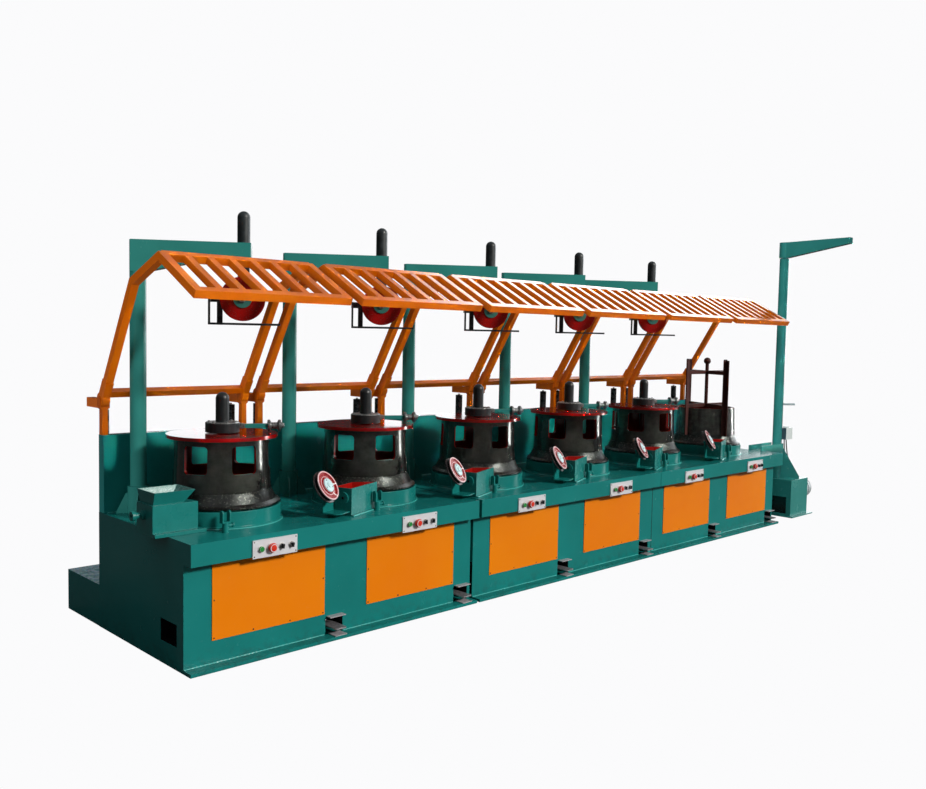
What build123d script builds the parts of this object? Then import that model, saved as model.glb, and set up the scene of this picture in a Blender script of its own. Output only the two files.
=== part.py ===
from build123d import *
import math
import os

# Wire drawing machine with six upright blocks in line, millimetres.
# X runs along the line from the wire inlet to the finishing block, Y to the back, Z up.
# The origin is on the floor at the middle of the three cabinets.

# Line and cabinets
BAY = 1060.0
BAYS_PER_UNIT = 2
UNITS = 3
UNIT = BAYS_PER_UNIT * BAY
BAYS = BAYS_PER_UNIT * UNITS
LEFT = -UNITS * UNIT / 2
RIGHT = -LEFT
TABLE_Z = 700.0
APRON_H = 120.0
APRON_Y = -570.0
APRON_OUT = 80.0
BODY_Y = APRON_Y + APRON_OUT
BACK_Y = 570.0
LIP_Y = APRON_Y + 2.0
LIP_T = 20.0
SEAMS = (25.0, 4.0, 0.0)
END_SETBACK = 30.0
HOLE_Y = (-416.0, -230.0)
HOLE_Z = (123.0, 245.0)
HOLE_DEPTH = 60.0

# Rear wall of the table and the low box behind it
WALL_T = 70.0
WALL_H = 468.0
WALL_TOP = TABLE_Z + WALL_H
WALL_Y = BACK_Y - WALL_T
STEP_W = 485.0
STEP_H = 257.0

# Front service panels, foot pedals' pockets and control plates
PANEL_IN = (163.0, 145.0)
PANEL_SHORT = 330.0
PANEL_L = BAY - PANEL_SHORT
PANEL_Z = 145.0
PANEL_T = 4.0
POCKET_GAP = 10.0
POCKET_W = 125.0
POCKET_H = 105.0
POCKET_DEPTH = 170.0
BROW_OUT = 42.0
BROW_T = 6.0
BROW_W = 112.0
PLATE_L = 285.0
PLATE_H = 100.0
PLATE_LOW = 128.0
PLATE_T = 8.0
PLATE_SHIFT = 30.0
KNOBS = ((50.0, 15.0, 12.0), (115.0, 22.0, 26.0), (182.0, 14.0, 10.0), (245.0, 14.0, 10.0))
BEZEL = 4.0

# Foot pedals
PEDAL_W = 84.0
PEDAL_T = 8.0
PEDAL_UP = 42.0
PEDAL_OUT = 75.0
PEDAL_BASE_T = 5.0
PIN_R = 8.0
PIN_BACK = 120.0
SLEEVE_T = 6.0
RUNNING = 0.05

# Drawing blocks and the rings that carry them
BLOCK_IN_BAY = 480.0
BLOCK_Y = -35.0
SHELL_R = 281.0
SEAT_OUT = 62.0
SEAT_R = SHELL_R + SEAT_OUT
SEAT_H = 95.0
SEAT_WALL = 18.0
SEAT_FOOT = 7.0
SEAT_FOOT_T = 12.0
SEAT_FLOOR = 14.0
JOURNAL_R = 70.0
JOURNAL_WALL = 35.0
RUN_GAP = 7.0
RIM_IN = 8.0
RIM_R = SEAT_R - RIM_IN
RIM_T = 9.0
FLARE_IN = 25.0
FLARE_R = RIM_R - FLARE_IN
FLARE_Z = TABLE_Z + 125.0
SHELL_Z = TABLE_Z + 180.0
STEP_Z = TABLE_Z + 214.0
STEP_OUT = 1.5
HEAD_IN = 9.0
HEAD_R = SHELL_R - HEAD_IN
HEAD_Z = TABLE_Z + 491.0
SHELL_WALL = 22.0
HUB_H = 60.0
HUB_WALL = 25.0
FLANGE_T = 12.0
FLANGE_OUT = 46.0
FLANGE_R = HEAD_R + FLANGE_OUT
FLANGE_RIM = 12.0
FLANGE_DROP = 8.0
WINDOWS = 6
WINDOW_H = 160.0
WINDOW_W = 150.0
WINDOW_R = 22.0
WINDOW_Z = TABLE_Z + 370.0
WINDOW_TURNS = (207.5, 201.0, 203.0, 200.0, 202.0)
SPINDLE_R = 32.0
PLAIN_Z = TABLE_Z + 450.0

# Flyers on blocks one to five
FLYER_GAP = 6.0
FLYER_Z = HEAD_Z + FLANGE_T + FLYER_GAP
FLYER_HUB_R = 98.0
FLYER_HUB_H = 60.0
FLYER_LID = 12.0
FLYER_EDGE = 5.0
DOME_R = 39.0
DOME_H = 174.0
FLYER_TURN = -27.0
ARM_IN = 10.0
ARM_REACH = HEAD_R - ARM_IN
ARM_W = 34.0
ARM_T = 24.0
ARM_Z = FLYER_Z + 34.0
ROLLER_R = 35.0
ROLLER_L = 76.0
ROLLER_LIP = 13.0
ROLLER_NECK_R = 19.0
KNUCKLE_R = 17.0

# Take-off posts with overhead sheaves, placed from the block's axis
POST_AT = (-310.0, 439.0)
POST_R = 47.5
SLEEVE_R = 62.0
SLEEVE_H = 165.0
GUSSET_L = 62.0
GUSSET_H = 120.0
GUSSET_T = 10.0
GUSSET_TURNS = (-120.0, -30.0, 150.0)
JIB_H = 1625.0
JIB_Z = TABLE_Z + JIB_H
JIB_W = 96.0
JIB_DEEP = 187.0
JIB_TIP_DEEP = 112.0
JIB_HAUNCH = 0.62
JIB_HEEL_IN = 12.5
JIB_NOSE = 46.0
JIB_TURN = -35.6
JIB_REACH = 610.0
CAP_R = 38.0
CAP_H = 190.0
SHEAVE_DROP = 334.0
SHEAVE_Z = JIB_Z - SHEAVE_DROP
SHEAVE_R = 132.0
SHEAVE_T = 44.0
SHEAVE_WEB = 28.0
SHEAVE_GROOVE = 26.0
SHEAVE_OFF = 54.0
SHEAVE_HUB_R = 54.0
SIDE_GAP = 2.0
AXLE_R = 15.0
AXLE_NUT = 12.0
HANGER_T = 16.0
HANGER_W = 70.0
BAR_H = 40.0
FINGER_BACK = 188.0
FINGER_FRONT = 221.0
FINGER_DROP = 156.0
FINGER_T = 13.0
DROP_BACK = 155.0
DROP_W = 33.0

# Die boxes of blocks two to six, placed from the block's axis
DIE_OFF = (103.0, 100.0)
DIE_AT = (-SEAT_R - DIE_OFF[0], -SEAT_R - DIE_OFF[1])
DIE_TURN = 22.0
DIE_L = 310.0
DIE_L_BACK = 222.0
DIE_W = 130.0
DIE_H = 169.0
DIE_WALL = 8.0
DIE_FLOOR = 60.0
DIE_FLANGE = 12.0
DIE_FLANGE_T = 8.0
BOSS_R = 35.0
BOSS_T = 10.0
BOSS_IN = 55.0
WIRE_Z = TABLE_Z + 108.0
WIRE_HOLE_R = 9.0

# Guide wheels and their trays, left of the die boxes
WHEEL_IN = (-139.0, 91.0)
WHEEL_Z = TABLE_Z + 194.0
WHEEL_LEAN = 30.0
WHEEL_EXTRA_TURN = 2.0
WHEEL_R = 93.0
WHEEL_BACK_R = 100.0
WHEEL_T = 34.0
WHEEL_GROOVE = 18.0
WHEEL_RING_R = 76.0
WHEEL_RING_IN = 52.0
WHEEL_HUB_R = 43.0
WHEEL_AXLE_R = 12.0
TRAY_L = 122.0
TRAY_Z = TABLE_Z + 24.0
TRAY_T = 7.0
TRAY_INSET = 12.0
TRAY_CORNER = 48.0
TRAY_BACK_H = 66.0
TRAY_EAR_W = 50.0
EAR_T = 8.0
AXLE_BACK = 34.0

# Inlet die box on the table's left end, placed from the first block's axis
INLET_OFF = 213.0
INLET_BACK = 81.0
INLET_AT = (-SEAT_R - INLET_OFF, INLET_BACK - SEAT_R)
INLET_L = 262.0
INLET_L_BACK = 203.0
INLET_W = 190.0
INLET_SIDE = 48.0
INLET_FOOT_T = 20.0
INLET_FOOT_L = 38.0
INLET_FOOT_OUT = 28.0
HOPPER_H = 69.0
HOPPER_WALL = 5.0
HOPPER_L = 235.0
HOPPER_W = 210.0
HOPPER_NECK_L = 176.0
HOPPER_NECK_W = 150.0
HOPPER_IN = 12.0
BUSH_R = 26.0
BUSH_NECK_R = 17.0
BUSH_L = 70.0
BUSH_IN = 105.0

# Wire stops in front of the blocks, placed from the block's axis
STOP_SIDE = 192.0
STOP_OFF = 32.0
STOP_AT = (-STOP_SIDE, -SEAT_R - STOP_OFF)
STOP_R = 17.0
STOP_H = 62.0
STOP_EAR_H = 60.0
STOP_EAR_T = 9.0
STOP_GAP = 34.0
STOP_BOLT_R = 9.0
STOP_BOLT_L = 42.0

# Raised guards over the blocks, points measured from the pivot
GUARD_IN = -6.5
GUARD_SHORT = 80.0
GUARD_L = BAY - GUARD_SHORT
PIVOT_Y = 534.0
PIVOT_UP = 211.0
PIVOT_Z = WALL_TOP + PIVOT_UP
BEND = (-417.0, 683.0)
PEAK = (-754.0, 811.0)
NOSE = (-1131.0, 610.0)
TUBE = 45.0
GUARD_SLEEVE = 60.0
GUARD_SLEEVE_W = 47.0
GUARD_SLEEVE_L = 130.0
SLATS = 6
SLAT_W = 40.0
TIE_GAP = 5.0
TIE_T = 40.0
GUARD_BOSS_R = 42.0
GUARD_PIN_R = 14.0
LEVER_L = 190.0
LEVER_H = 56.0
LEVER_DROP = 25.0
LEVER_GAP = 6.0
CHEEK_T = 5.0
CHEEK_GAP = 1.5
SUPPORT_TOP_W = 34.0
SUPPORT_FOOT_W = 38.0
SUPPORT_D = 40.0
SUPPORT_GAP = 2.0
DAMPER_R = 28.0
DAMPER_SIDE = 40.0
DAMPER_OFF = 86.0
DAMPER_GAP = 6.0
DAMPER_L = 500.0
DAMPER_STUB = 10.0
ROD_R = 9.0
LUG_W = 40.0
LUG_T = 30.0

# Coil hoist at the right end of the table
HOIST_X = RIGHT + 368.0
HOIST_Y = BODY_Y
HOIST_L = 368.0
HOIST_W = 335.0
HOIST_H = 380.0
HOIST_FOOT_T = 12.0
HOIST_FOOT_OUT = 45.0
SLOT_Y = (50.0, 265.0)
SLOT_Z = (30.0, 200.0)
SLOT_DEPTH = 80.0
TOWER_IN = (92.0, 222.0)
TOWER_X = HOIST_X + TOWER_IN[0]
TOWER_Y = HOIST_Y + TOWER_IN[1]
TOWER_R = 47.5
TOWER_H = 2280.0
TOWER_TOP = HOIST_H + TOWER_H
TOWER_PIN_R = 22.0
BOOM_GAP = 6.0
BOOM_DEEP = 161.0
BOOM_TIP_DEEP = 60.0
BOOM_L = 741.0
BOOM_W = 60.0
BOOM_TURN = -98.5
BOOM_ROOF = 18.0
STAY_H = 320.0
STAY_L = 245.0
STAY_T = 12.0
STAY_TOP = 14.0
STAY_TURNS = (-45.0, 135.0)
TIE_PLATE_T = 60.0
TIE_PLATE_W = 144.0
TIE_UPSTAND = 45.0
TIE_UPSTAND_T = 12.0
MOTOR_R = 94.0
MOTOR_FLANGE = 12.0
MOTOR_FLANGE_T = 14.0
MOTOR_L = 240.0
MOTOR_COWL_L = 60.0
MOTOR_COWL = 6.0
MOTOR_UP = 235.0
MOTOR_IN = 165.0
JBOX_L = 140.0
JBOX_W = 80.0
JBOX_H = 122.0
JBOX_Z = 780.0
JBOX_GLAND_R = 30.0
JBOX_GLAND_H = 12.0
PEG_R = 11.0
PEG_L = 120.0
PEG_Z = 1152.0
PEG_TURN = -45.0
CABLE_R = 6.0
CABLE_SEAT = 0.3
CABLE_BEND = 60.0

# Coil lifting frame on the finishing block
CLAW_OUT = 21.0
CLAW_R = HEAD_R + CLAW_OUT
CLAW_TURNS = (-114.7, -5.7, 65.3, 174.3)
CLAW_LEG = 40.0
CLAW_T = 5.0
CLAW_H = 722.0
CLAW_FOOT = STEP_Z - 24.0
CROSS_UP = 322.0
CROSS_H = 34.0
CROSS_T = 16.0
ROD_H = 450.0
CENTRE_R = 17.0
BALL_R = 34.0


def block_x(bay):
    """X of the block's axis in a bay."""
    return LEFT + BAY * bay + BLOCK_IN_BAY


def at_block(bay):
    """Table level on the axis of the block in a bay."""
    return Pos(block_x(bay), BLOCK_Y, 0)


def prism_yz(points, x0, x1):
    """Outline drawn in Y and Z, carried along X."""
    face = make_face(Plane.YZ * Polyline(*points, close=True))
    return Pos(x0, 0, 0) * extrude(face, x1 - x0, dir=(1, 0, 0))


def prism_xz(points, y0, y1):
    """Outline drawn in X and Z, carried along Y."""
    face = make_face(Plane.XZ * Polyline(*points, close=True))
    return Pos(0, y0, 0) * extrude(face, y1 - y0, dir=(0, 1, 0))


def prism_xy(points, z0, z1):
    """Outline drawn in X and Y, carried up."""
    face = make_face(Polyline(*points, close=True))
    return Pos(0, 0, z0) * extrude(face, z1 - z0, dir=(0, 0, 1))


def slab(x0, x1, y0, y1, z0, z1):
    """Box between two corners."""
    return Pos((x0 + x1) / 2, (y0 + y1) / 2, (z0 + z1) / 2) * Box(x1 - x0, y1 - y0, z1 - z0)


def rod(radius, length):
    """Round bar that stands on its lower end."""
    return Cylinder(radius, length, align=(Align.CENTER, Align.CENTER, Align.MIN))


def rod_x(radius, length):
    """Round bar along X from its left end."""
    return Rot(0, 90, 0) * rod(radius, length)


def rod_front(radius, length):
    """Round bar that points to the front from its rear end."""
    return Rot(90, 0, 0) * rod(radius, length)


def turned(points):
    """Solid of revolution about Z from an outline in radius and height."""
    return revolve(make_face(Plane.XZ * Polyline(*points, close=True)), Axis.Z)


def round_top(radius, height):
    """Upright bar with a hemispherical end."""
    straight = height - radius
    ball = Sphere(radius) & Pos(0, 0, radius / 2) * Box(3 * radius, 3 * radius, radius)
    return rod(radius, straight) + Pos(0, 0, straight) * ball


def base_unit(unit):
    """Welded cabinet with an overhanging apron, a floor lip and two pedal pockets."""
    x0 = LEFT + UNIT * unit
    x1 = x0 + UNIT - SEAMS[unit]
    under = TABLE_Z - APRON_H
    profile = [
        (BACK_Y, 0), (LIP_Y, 0), (LIP_Y, LIP_T), (BODY_Y, LIP_T), (BODY_Y, under),
        (APRON_Y, under), (APRON_Y, TABLE_Z), (BACK_Y, TABLE_Z),
    ]
    shape = prism_yz(profile, x0, x1)
    if unit == UNITS - 1:
        shape -= slab(x1 - END_SETBACK, x1 + 1, LIP_Y - 1, BACK_Y + 1, -1, under)
    for side in range(BAYS_PER_UNIT):
        shape = shape + pocket_brow(unit, side) - pocket_room(unit, side) + pocket_pin(unit, side)
    if unit == 0:
        shape -= slab(x0 - 1, x0 + HOLE_DEPTH, *HOLE_Y, *HOLE_Z)
    return shape


def pocket_left(unit, side):
    """X of the left side of a pedal's pocket, just right of a service panel."""
    return LEFT + UNIT * unit + BAY * side + PANEL_IN[side] + PANEL_L + POCKET_GAP


def pocket_room(unit, side):
    """Room cut for a pedal."""
    left = pocket_left(unit, side)
    return slab(left, left + POCKET_W, LIP_Y - 1, BODY_Y + POCKET_DEPTH, LIP_T, LIP_T + POCKET_H)


def pocket_brow(unit, side):
    """Small guard plate over a pedal, at the top of its pocket."""
    middle = pocket_left(unit, side) + POCKET_W / 2
    top = LIP_T + POCKET_H + BROW_T
    return slab(middle - BROW_W / 2, middle + BROW_W / 2, BODY_Y - BROW_OUT, BODY_Y, top - BROW_T, top)


def pocket_pin(unit, side):
    """Pedal's pin across its pocket, and the base plate under the pedal's nose."""
    left = pocket_left(unit, side)
    middle = left + POCKET_W / 2
    pin = Pos(left - 1, BODY_Y + PIN_BACK, LIP_T + PEDAL_UP) * rod_x(PIN_R, POCKET_W + 2)
    base = slab(
        middle - PEDAL_W / 2, middle + PEDAL_W / 2, BODY_Y - PEDAL_OUT, BODY_Y + 10, LIP_T - 1, LIP_T + PEDAL_BASE_T
    )
    return pin + base


def pedal(unit, side):
    """Foot plate on a tube that turns on the pocket's pin."""
    middle = pocket_left(unit, side) + POCKET_W / 2
    x0 = middle - PEDAL_W / 2
    hinge_y = BODY_Y + PIN_BACK
    z = LIP_T + PEDAL_UP
    plate = slab(x0, x0 + PEDAL_W, BODY_Y - PEDAL_OUT, hinge_y, z - PEDAL_T / 2, z + PEDAL_T / 2)
    edge = plate.edges().filter_by(Axis.Z).sort_by(Axis.Y)[:2]
    plate = fillet(edge, 2 * PEDAL_T)
    tube = Pos(x0, hinge_y, z) * rod_x(PIN_R + SLEEVE_T, PEDAL_W)
    bore = Pos(x0 - 1, hinge_y, z) * rod_x(PIN_R + RUNNING, PEDAL_W + 2)
    return plate + tube - bore


def front_panel(bay):
    """Flat service panel on the cabinet's front, up to the apron."""
    x0 = LEFT + BAY * bay + PANEL_IN[bay % BAYS_PER_UNIT]
    return slab(x0, x0 + PANEL_L, BODY_Y - PANEL_T, BODY_Y, PANEL_Z, TABLE_Z - APRON_H)


def control_plate(bay):
    """Plate with a push button, a stop mushroom and two rotary switches."""
    x0 = LEFT + BAY * (bay + 0.5) - PLATE_SHIFT - PLATE_L / 2
    z0 = TABLE_Z - PLATE_LOW
    face_y = APRON_Y - PLATE_T
    shape = slab(x0, x0 + PLATE_L, face_y, APRON_Y, z0, z0 + PLATE_H)
    for along, radius, depth in KNOBS:
        place = Pos(x0 + along, face_y, z0 + PLATE_H / 2)
        shape += place * rod_front(radius + BEZEL, BEZEL)
        shape += place * rod_front(radius, BEZEL + depth)
    for along, radius, depth in KNOBS[2:]:
        grip = Box(radius * 0.6, depth, 2 * radius)
        shape += Pos(x0 + along, face_y - BEZEL - depth * 1.5, z0 + PLATE_H / 2) * grip
    return shape


def block_seat(bay):
    """Open ring on the table with the bearing housing that carries the block."""
    bore = JOURNAL_R + RUNNING
    inner = SEAT_R - SEAT_WALL
    top = TABLE_Z + SEAT_H
    foot = TABLE_Z + SEAT_FOOT_T
    profile = [
        (bore, TABLE_Z), (SEAT_R + SEAT_FOOT, TABLE_Z), (SEAT_R + SEAT_FOOT, foot), (SEAT_R, foot),
        (SEAT_R, top), (inner, top), (inner, TABLE_Z + SEAT_FLOOR),
        (JOURNAL_R + JOURNAL_WALL + 10, TABLE_Z + SEAT_FLOOR), (JOURNAL_R + JOURNAL_WALL, top - 10), (bore, top - 10),
    ]
    return at_block(bay) * turned(profile)


def block_outside(top):
    """Outer outline of a block from its lower rim to the top of its shell."""
    foot = TABLE_Z + SEAT_H + RUN_GAP
    return [
        (RIM_R, foot), (RIM_R, foot + RIM_T), (FLARE_R, FLARE_Z), (SHELL_R + STEP_OUT, SHELL_Z),
        (SHELL_R + STEP_OUT, STEP_Z), (SHELL_R, STEP_Z), (HEAD_R, top),
    ]


def block_journal():
    """Outline of the block's journal, from its lower end to the underside of the block."""
    foot = TABLE_Z + SEAT_H + RUN_GAP
    return [(0, TABLE_Z + SEAT_FLOOR), (JOURNAL_R, TABLE_Z + SEAT_FLOOR), (JOURNAL_R, foot)]


def drawing_block(bay):
    """Windowed capstan with a rimmed flange and the spindle for the flyer."""
    hub = SHELL_Z + HUB_H
    flange_top = HEAD_Z + FLANGE_T
    spindle_top = FLYER_Z + FLYER_HUB_H - FLYER_LID
    inside = [
        (HEAD_R - SHELL_WALL, HEAD_Z), (SHELL_R - SHELL_WALL, SHELL_Z), (SPINDLE_R + HUB_WALL, SHELL_Z),
        (SPINDLE_R + HUB_WALL, hub), (SPINDLE_R, hub), (SPINDLE_R, HEAD_Z), (0, HEAD_Z),
    ]
    shape = turned(block_outside(HEAD_Z) + inside + block_journal())
    cutter = Pos(SHELL_R, 0, WINDOW_Z) * Rot(0, 90, 0) * extrude(
        RectangleRounded(WINDOW_H, WINDOW_W, WINDOW_R), 3 * SHELL_WALL, both=True
    )
    for k in range(WINDOWS):
        shape -= Rot(0, 0, WINDOW_TURNS[bay] + 360 * k / WINDOWS) * cutter
    rim_in = FLANGE_R - FLANGE_RIM
    shape += turned([
        (0, HEAD_Z), (rim_in, HEAD_Z), (rim_in, HEAD_Z - FLANGE_DROP), (FLANGE_R, HEAD_Z - FLANGE_DROP),
        (FLANGE_R, flange_top), (SPINDLE_R, flange_top), (SPINDLE_R, spindle_top), (0, spindle_top),
    ])
    return at_block(bay) * shape


def finishing_block():
    """Last capstan: a plain shell, open at the top."""
    inside = [
        (HEAD_R - SHELL_WALL, PLAIN_Z), (SHELL_R - SHELL_WALL, SHELL_Z), (SPINDLE_R + HUB_WALL, SHELL_Z),
        (SPINDLE_R + HUB_WALL, SHELL_Z + HUB_H), (0, SHELL_Z + HUB_H),
    ]
    return at_block(BAYS - 1) * turned(block_outside(PLAIN_Z) + inside + block_journal())


def flyer(bay):
    """Hub with a round-topped cover and an arm that carries the wire roller."""
    top = FLYER_Z + FLYER_HUB_H
    bore = SPINDLE_R + RUNNING
    hub = turned([
        (bore, FLYER_Z), (FLYER_HUB_R, FLYER_Z), (FLYER_HUB_R, top - FLYER_EDGE), (FLYER_HUB_R - FLYER_EDGE, top),
        (0, top), (0, top - FLYER_LID / 2), (bore, top - FLYER_LID / 2),
    ])
    hub += Pos(0, 0, top - 1) * round_top(DOME_R, DOME_H + 1)
    arm = slab(FLYER_HUB_R - 10, ARM_REACH, -ARM_W / 2, ARM_W / 2, ARM_Z - ARM_T / 2, ARM_Z + ARM_T / 2)
    arm += Pos(FLYER_HUB_R - 12, 0, ARM_Z) * rod_x(KNUCKLE_R, 2 * KNUCKLE_R)
    neck = ROLLER_L - ROLLER_LIP
    roller = Rot(0, 90, 0) * turned([
        (0, 0), (ROLLER_R, 0), (ROLLER_R, ROLLER_LIP), (ROLLER_NECK_R, ROLLER_LIP + 8), (ROLLER_NECK_R, neck - 8),
        (ROLLER_R, neck), (ROLLER_R, ROLLER_L), (ROLLER_NECK_R, ROLLER_L), (ROLLER_NECK_R, ROLLER_L + 10),
        (0, ROLLER_L + 10),
    ])
    return at_block(bay) * (hub + Rot(0, 0, FLYER_TURN) * (arm + Pos(ARM_REACH - 1, 0, ARM_Z) * roller))


def at_post(bay):
    """Axis of a take-off post."""
    return Pos(block_x(bay) + POST_AT[0], BLOCK_Y + POST_AT[1], 0)


def at_cap(bay):
    """Axis of the cap on a jib's outer end, local X along the jib and local Y to its back."""
    return at_post(bay) * Rot(0, 0, JIB_TURN) * Pos(JIB_REACH, 0, 0)


def sheave_post(bay):
    """Round post in a gusseted sleeve with a tapering box jib at its top."""
    shape = Pos(0, 0, TABLE_Z) * (rod(POST_R, JIB_H) + rod(SLEEVE_R, SLEEVE_H))
    reach = SLEEVE_R + GUSSET_L
    gusset = prism_xz(
        [(0, TABLE_Z), (reach, TABLE_Z), (reach, TABLE_Z + GUSSET_T), (SLEEVE_R + GUSSET_T, TABLE_Z + GUSSET_H),
         (0, TABLE_Z + GUSSET_H)],
        -GUSSET_T / 2, GUSSET_T / 2,
    )
    for turn in GUSSET_TURNS:
        shape += Rot(0, 0, turn) * gusset
    heel = -POST_R + JIB_HEEL_IN
    beam = prism_xz(
        [(heel, JIB_Z), (heel, JIB_Z - JIB_DEEP), (POST_R, JIB_Z - JIB_DEEP),
         (JIB_REACH * JIB_HAUNCH, JIB_Z - JIB_TIP_DEEP), (JIB_REACH + JIB_NOSE, JIB_Z - JIB_TIP_DEEP),
         (JIB_REACH + JIB_NOSE, JIB_Z)],
        -JIB_W / 2, JIB_W / 2,
    )
    return at_post(bay) * (shape + Rot(0, 0, JIB_TURN) * beam)


def jib_cap(bay):
    """Round-topped cover on the jib's outer end."""
    return at_cap(bay) * Pos(0, 0, JIB_Z) * round_top(CAP_R, CAP_H)


def sheave_hanger(bay):
    """Hanger under the jib with the sheave's axle, a drop bar and the bent wire finger."""
    half = HANGER_W / 2
    back = HANGER_T / 2
    collar = SHEAVE_OFF - SHEAVE_T / 2 - back - SIDE_GAP
    plate = slab(-half, half, -back, back, SHEAVE_Z - half, JIB_Z - JIB_TIP_DEEP)
    axle = Pos(0, 0, SHEAVE_Z) * rod_front(AXLE_R, SHEAVE_OFF + SHEAVE_T / 2 + AXLE_NUT)
    axle += Pos(0, -back + 1, SHEAVE_Z) * rod_front(AXLE_R + AXLE_NUT, collar + 1)
    bar = slab(-FINGER_BACK, -half + 1, -back, back, SHEAVE_Z - BAR_H / 2, SHEAVE_Z + BAR_H / 2)
    near = -SHEAVE_OFF - FINGER_T / 2
    low = SHEAVE_Z - FINGER_DROP
    left = -FINGER_BACK - FINGER_T
    finger = slab(left, -FINGER_BACK, near, back, SHEAVE_Z - BAR_H / 2, SHEAVE_Z + BAR_H / 2)
    finger += slab(left, -FINGER_BACK, near, near + FINGER_T, low, SHEAVE_Z)
    finger += slab(left, FINGER_FRONT, near, near + FINGER_T, low, low + FINGER_T)
    drop = slab(-DROP_BACK, -DROP_BACK + DROP_W, -back, back, low, SHEAVE_Z)
    return at_cap(bay) * (plate + axle + bar + drop + finger)


def sheave(bay):
    """Grooved overhead wheel with a raised hub."""
    half = SHEAVE_T / 2
    web = SHEAVE_WEB / 2
    lip = web - 6
    bottom = SHEAVE_R - SHEAVE_GROOVE
    bore = AXLE_R + RUNNING
    profile = [
        (bore, -half), (SHEAVE_HUB_R, -half), (SHEAVE_HUB_R, -web), (SHEAVE_R, -web), (SHEAVE_R, -lip), (bottom, -3),
        (bottom, 3), (SHEAVE_R, lip), (SHEAVE_R, web), (SHEAVE_HUB_R, web), (SHEAVE_HUB_R, half), (bore, half),
    ]
    return at_cap(bay) * Pos(0, -SHEAVE_OFF, SHEAVE_Z) * Rot(90, 0, 0) * turned(profile)


def at_die_box(bay):
    """Front left corner of a die box on the table, local X along the wire, local Y to the back."""
    return at_block(bay) * Pos(DIE_AT[0], DIE_AT[1], 0) * Rot(0, 0, DIE_TURN)


def die_box(bay):
    """Open-topped lubricant box, cut back beside the block's seat, with the wire inlet boss."""
    t = DIE_WALL
    slant = (DIE_L - DIE_L_BACK) / DIE_W
    top = TABLE_Z + DIE_H
    shape = prism_xy([(0, 0), (DIE_L, 0), (DIE_L_BACK, DIE_W), (0, DIE_W)], TABLE_Z, top)
    shape += slab(0, DIE_L, -DIE_FLANGE, 1, TABLE_Z, TABLE_Z + DIE_FLANGE_T)
    hollow = [
        (t, t), (DIE_L - slant * t - 2 * t, t), (DIE_L_BACK + slant * t - 2 * t, DIE_W - t), (t, DIE_W - t),
    ]
    shape -= prism_xy(hollow, TABLE_Z + DIE_FLOOR, top + 1)
    shape += Pos(-BOSS_T, BOSS_IN, WIRE_Z) * rod_x(BOSS_R, BOSS_T)
    shape -= Pos(-BOSS_T - 1, BOSS_IN, WIRE_Z) * rod_x(WIRE_HOLE_R, BOSS_T + 2 * t)
    return at_die_box(bay) * shape


def at_wheel(bay):
    """Centre of a guide wheel, local Z along its axle towards the front."""
    turn = Rot(0, 0, WHEEL_EXTRA_TURN) * Rot(90 - WHEEL_LEAN, 0, 0)
    return at_die_box(bay) * Pos(WHEEL_IN[0], WHEEL_IN[1], WHEEL_Z) * turn


def guide_wheel(bay):
    """Leaning grooved wheel with a recessed ring in its face and a hub plate."""
    half = WHEEL_T / 2
    bore = WHEEL_AXLE_R + RUNNING
    bottom = WHEEL_R - WHEEL_GROOVE
    profile = [
        (bore, -half), (WHEEL_BACK_R, -half), (WHEEL_BACK_R, -half + 8), (bottom, -4), (bottom, 3), (WHEEL_R, half - 8),
        (WHEEL_R, half), (WHEEL_RING_R, half), (WHEEL_RING_R, half - 5), (WHEEL_RING_IN, half - 5),
        (WHEEL_RING_IN, half), (WHEEL_HUB_R, half), (WHEEL_HUB_R, half + 4), (bore, half + 4),
    ]
    return at_wheel(bay) * turned(profile)


def wheel_bracket(bay):
    """Raised tray with a rounded corner, its back plate and the leaning axle of the guide wheel."""
    floor = slab(-TRAY_L, 0, TRAY_INSET, DIE_W, TRAY_Z, TRAY_Z + TRAY_T)
    corner = floor.edges().filter_by(Axis.Z).sort_by(Axis.X)[:2].sort_by(Axis.Y)[:1]
    shape = fillet(corner, TRAY_CORNER)
    shape += slab(-TRAY_L + TRAY_CORNER, -TRAY_T, DIE_W / 2, DIE_W - TRAY_T, TABLE_Z, TRAY_Z)
    low = TRAY_Z + TRAY_T + TRAY_BACK_H
    ear_x = WHEEL_IN[0]
    ear_z = WHEEL_Z - AXLE_BACK * math.sin(math.radians(WHEEL_LEAN))
    ear = prism_xz(
        [(0, TRAY_Z), (-TRAY_L, TRAY_Z), (-TRAY_L, low), (ear_x - TRAY_EAR_W / 2, ear_z),
         (ear_x - TRAY_EAR_W / 3, ear_z + TRAY_EAR_W / 3), (ear_x + TRAY_EAR_W / 3, ear_z + TRAY_EAR_W / 3),
         (ear_x + TRAY_EAR_W / 2, ear_z), (-TRAY_L / 2, low), (0, low)],
        DIE_W - EAR_T, DIE_W,
    )
    shape = at_die_box(bay) * (shape + ear)
    axle = Pos(0, 0, -WHEEL_T / 2 - AXLE_BACK) * rod(WHEEL_AXLE_R, AXLE_BACK + WHEEL_T + 10)
    return shape + at_wheel(bay) * axle


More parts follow.
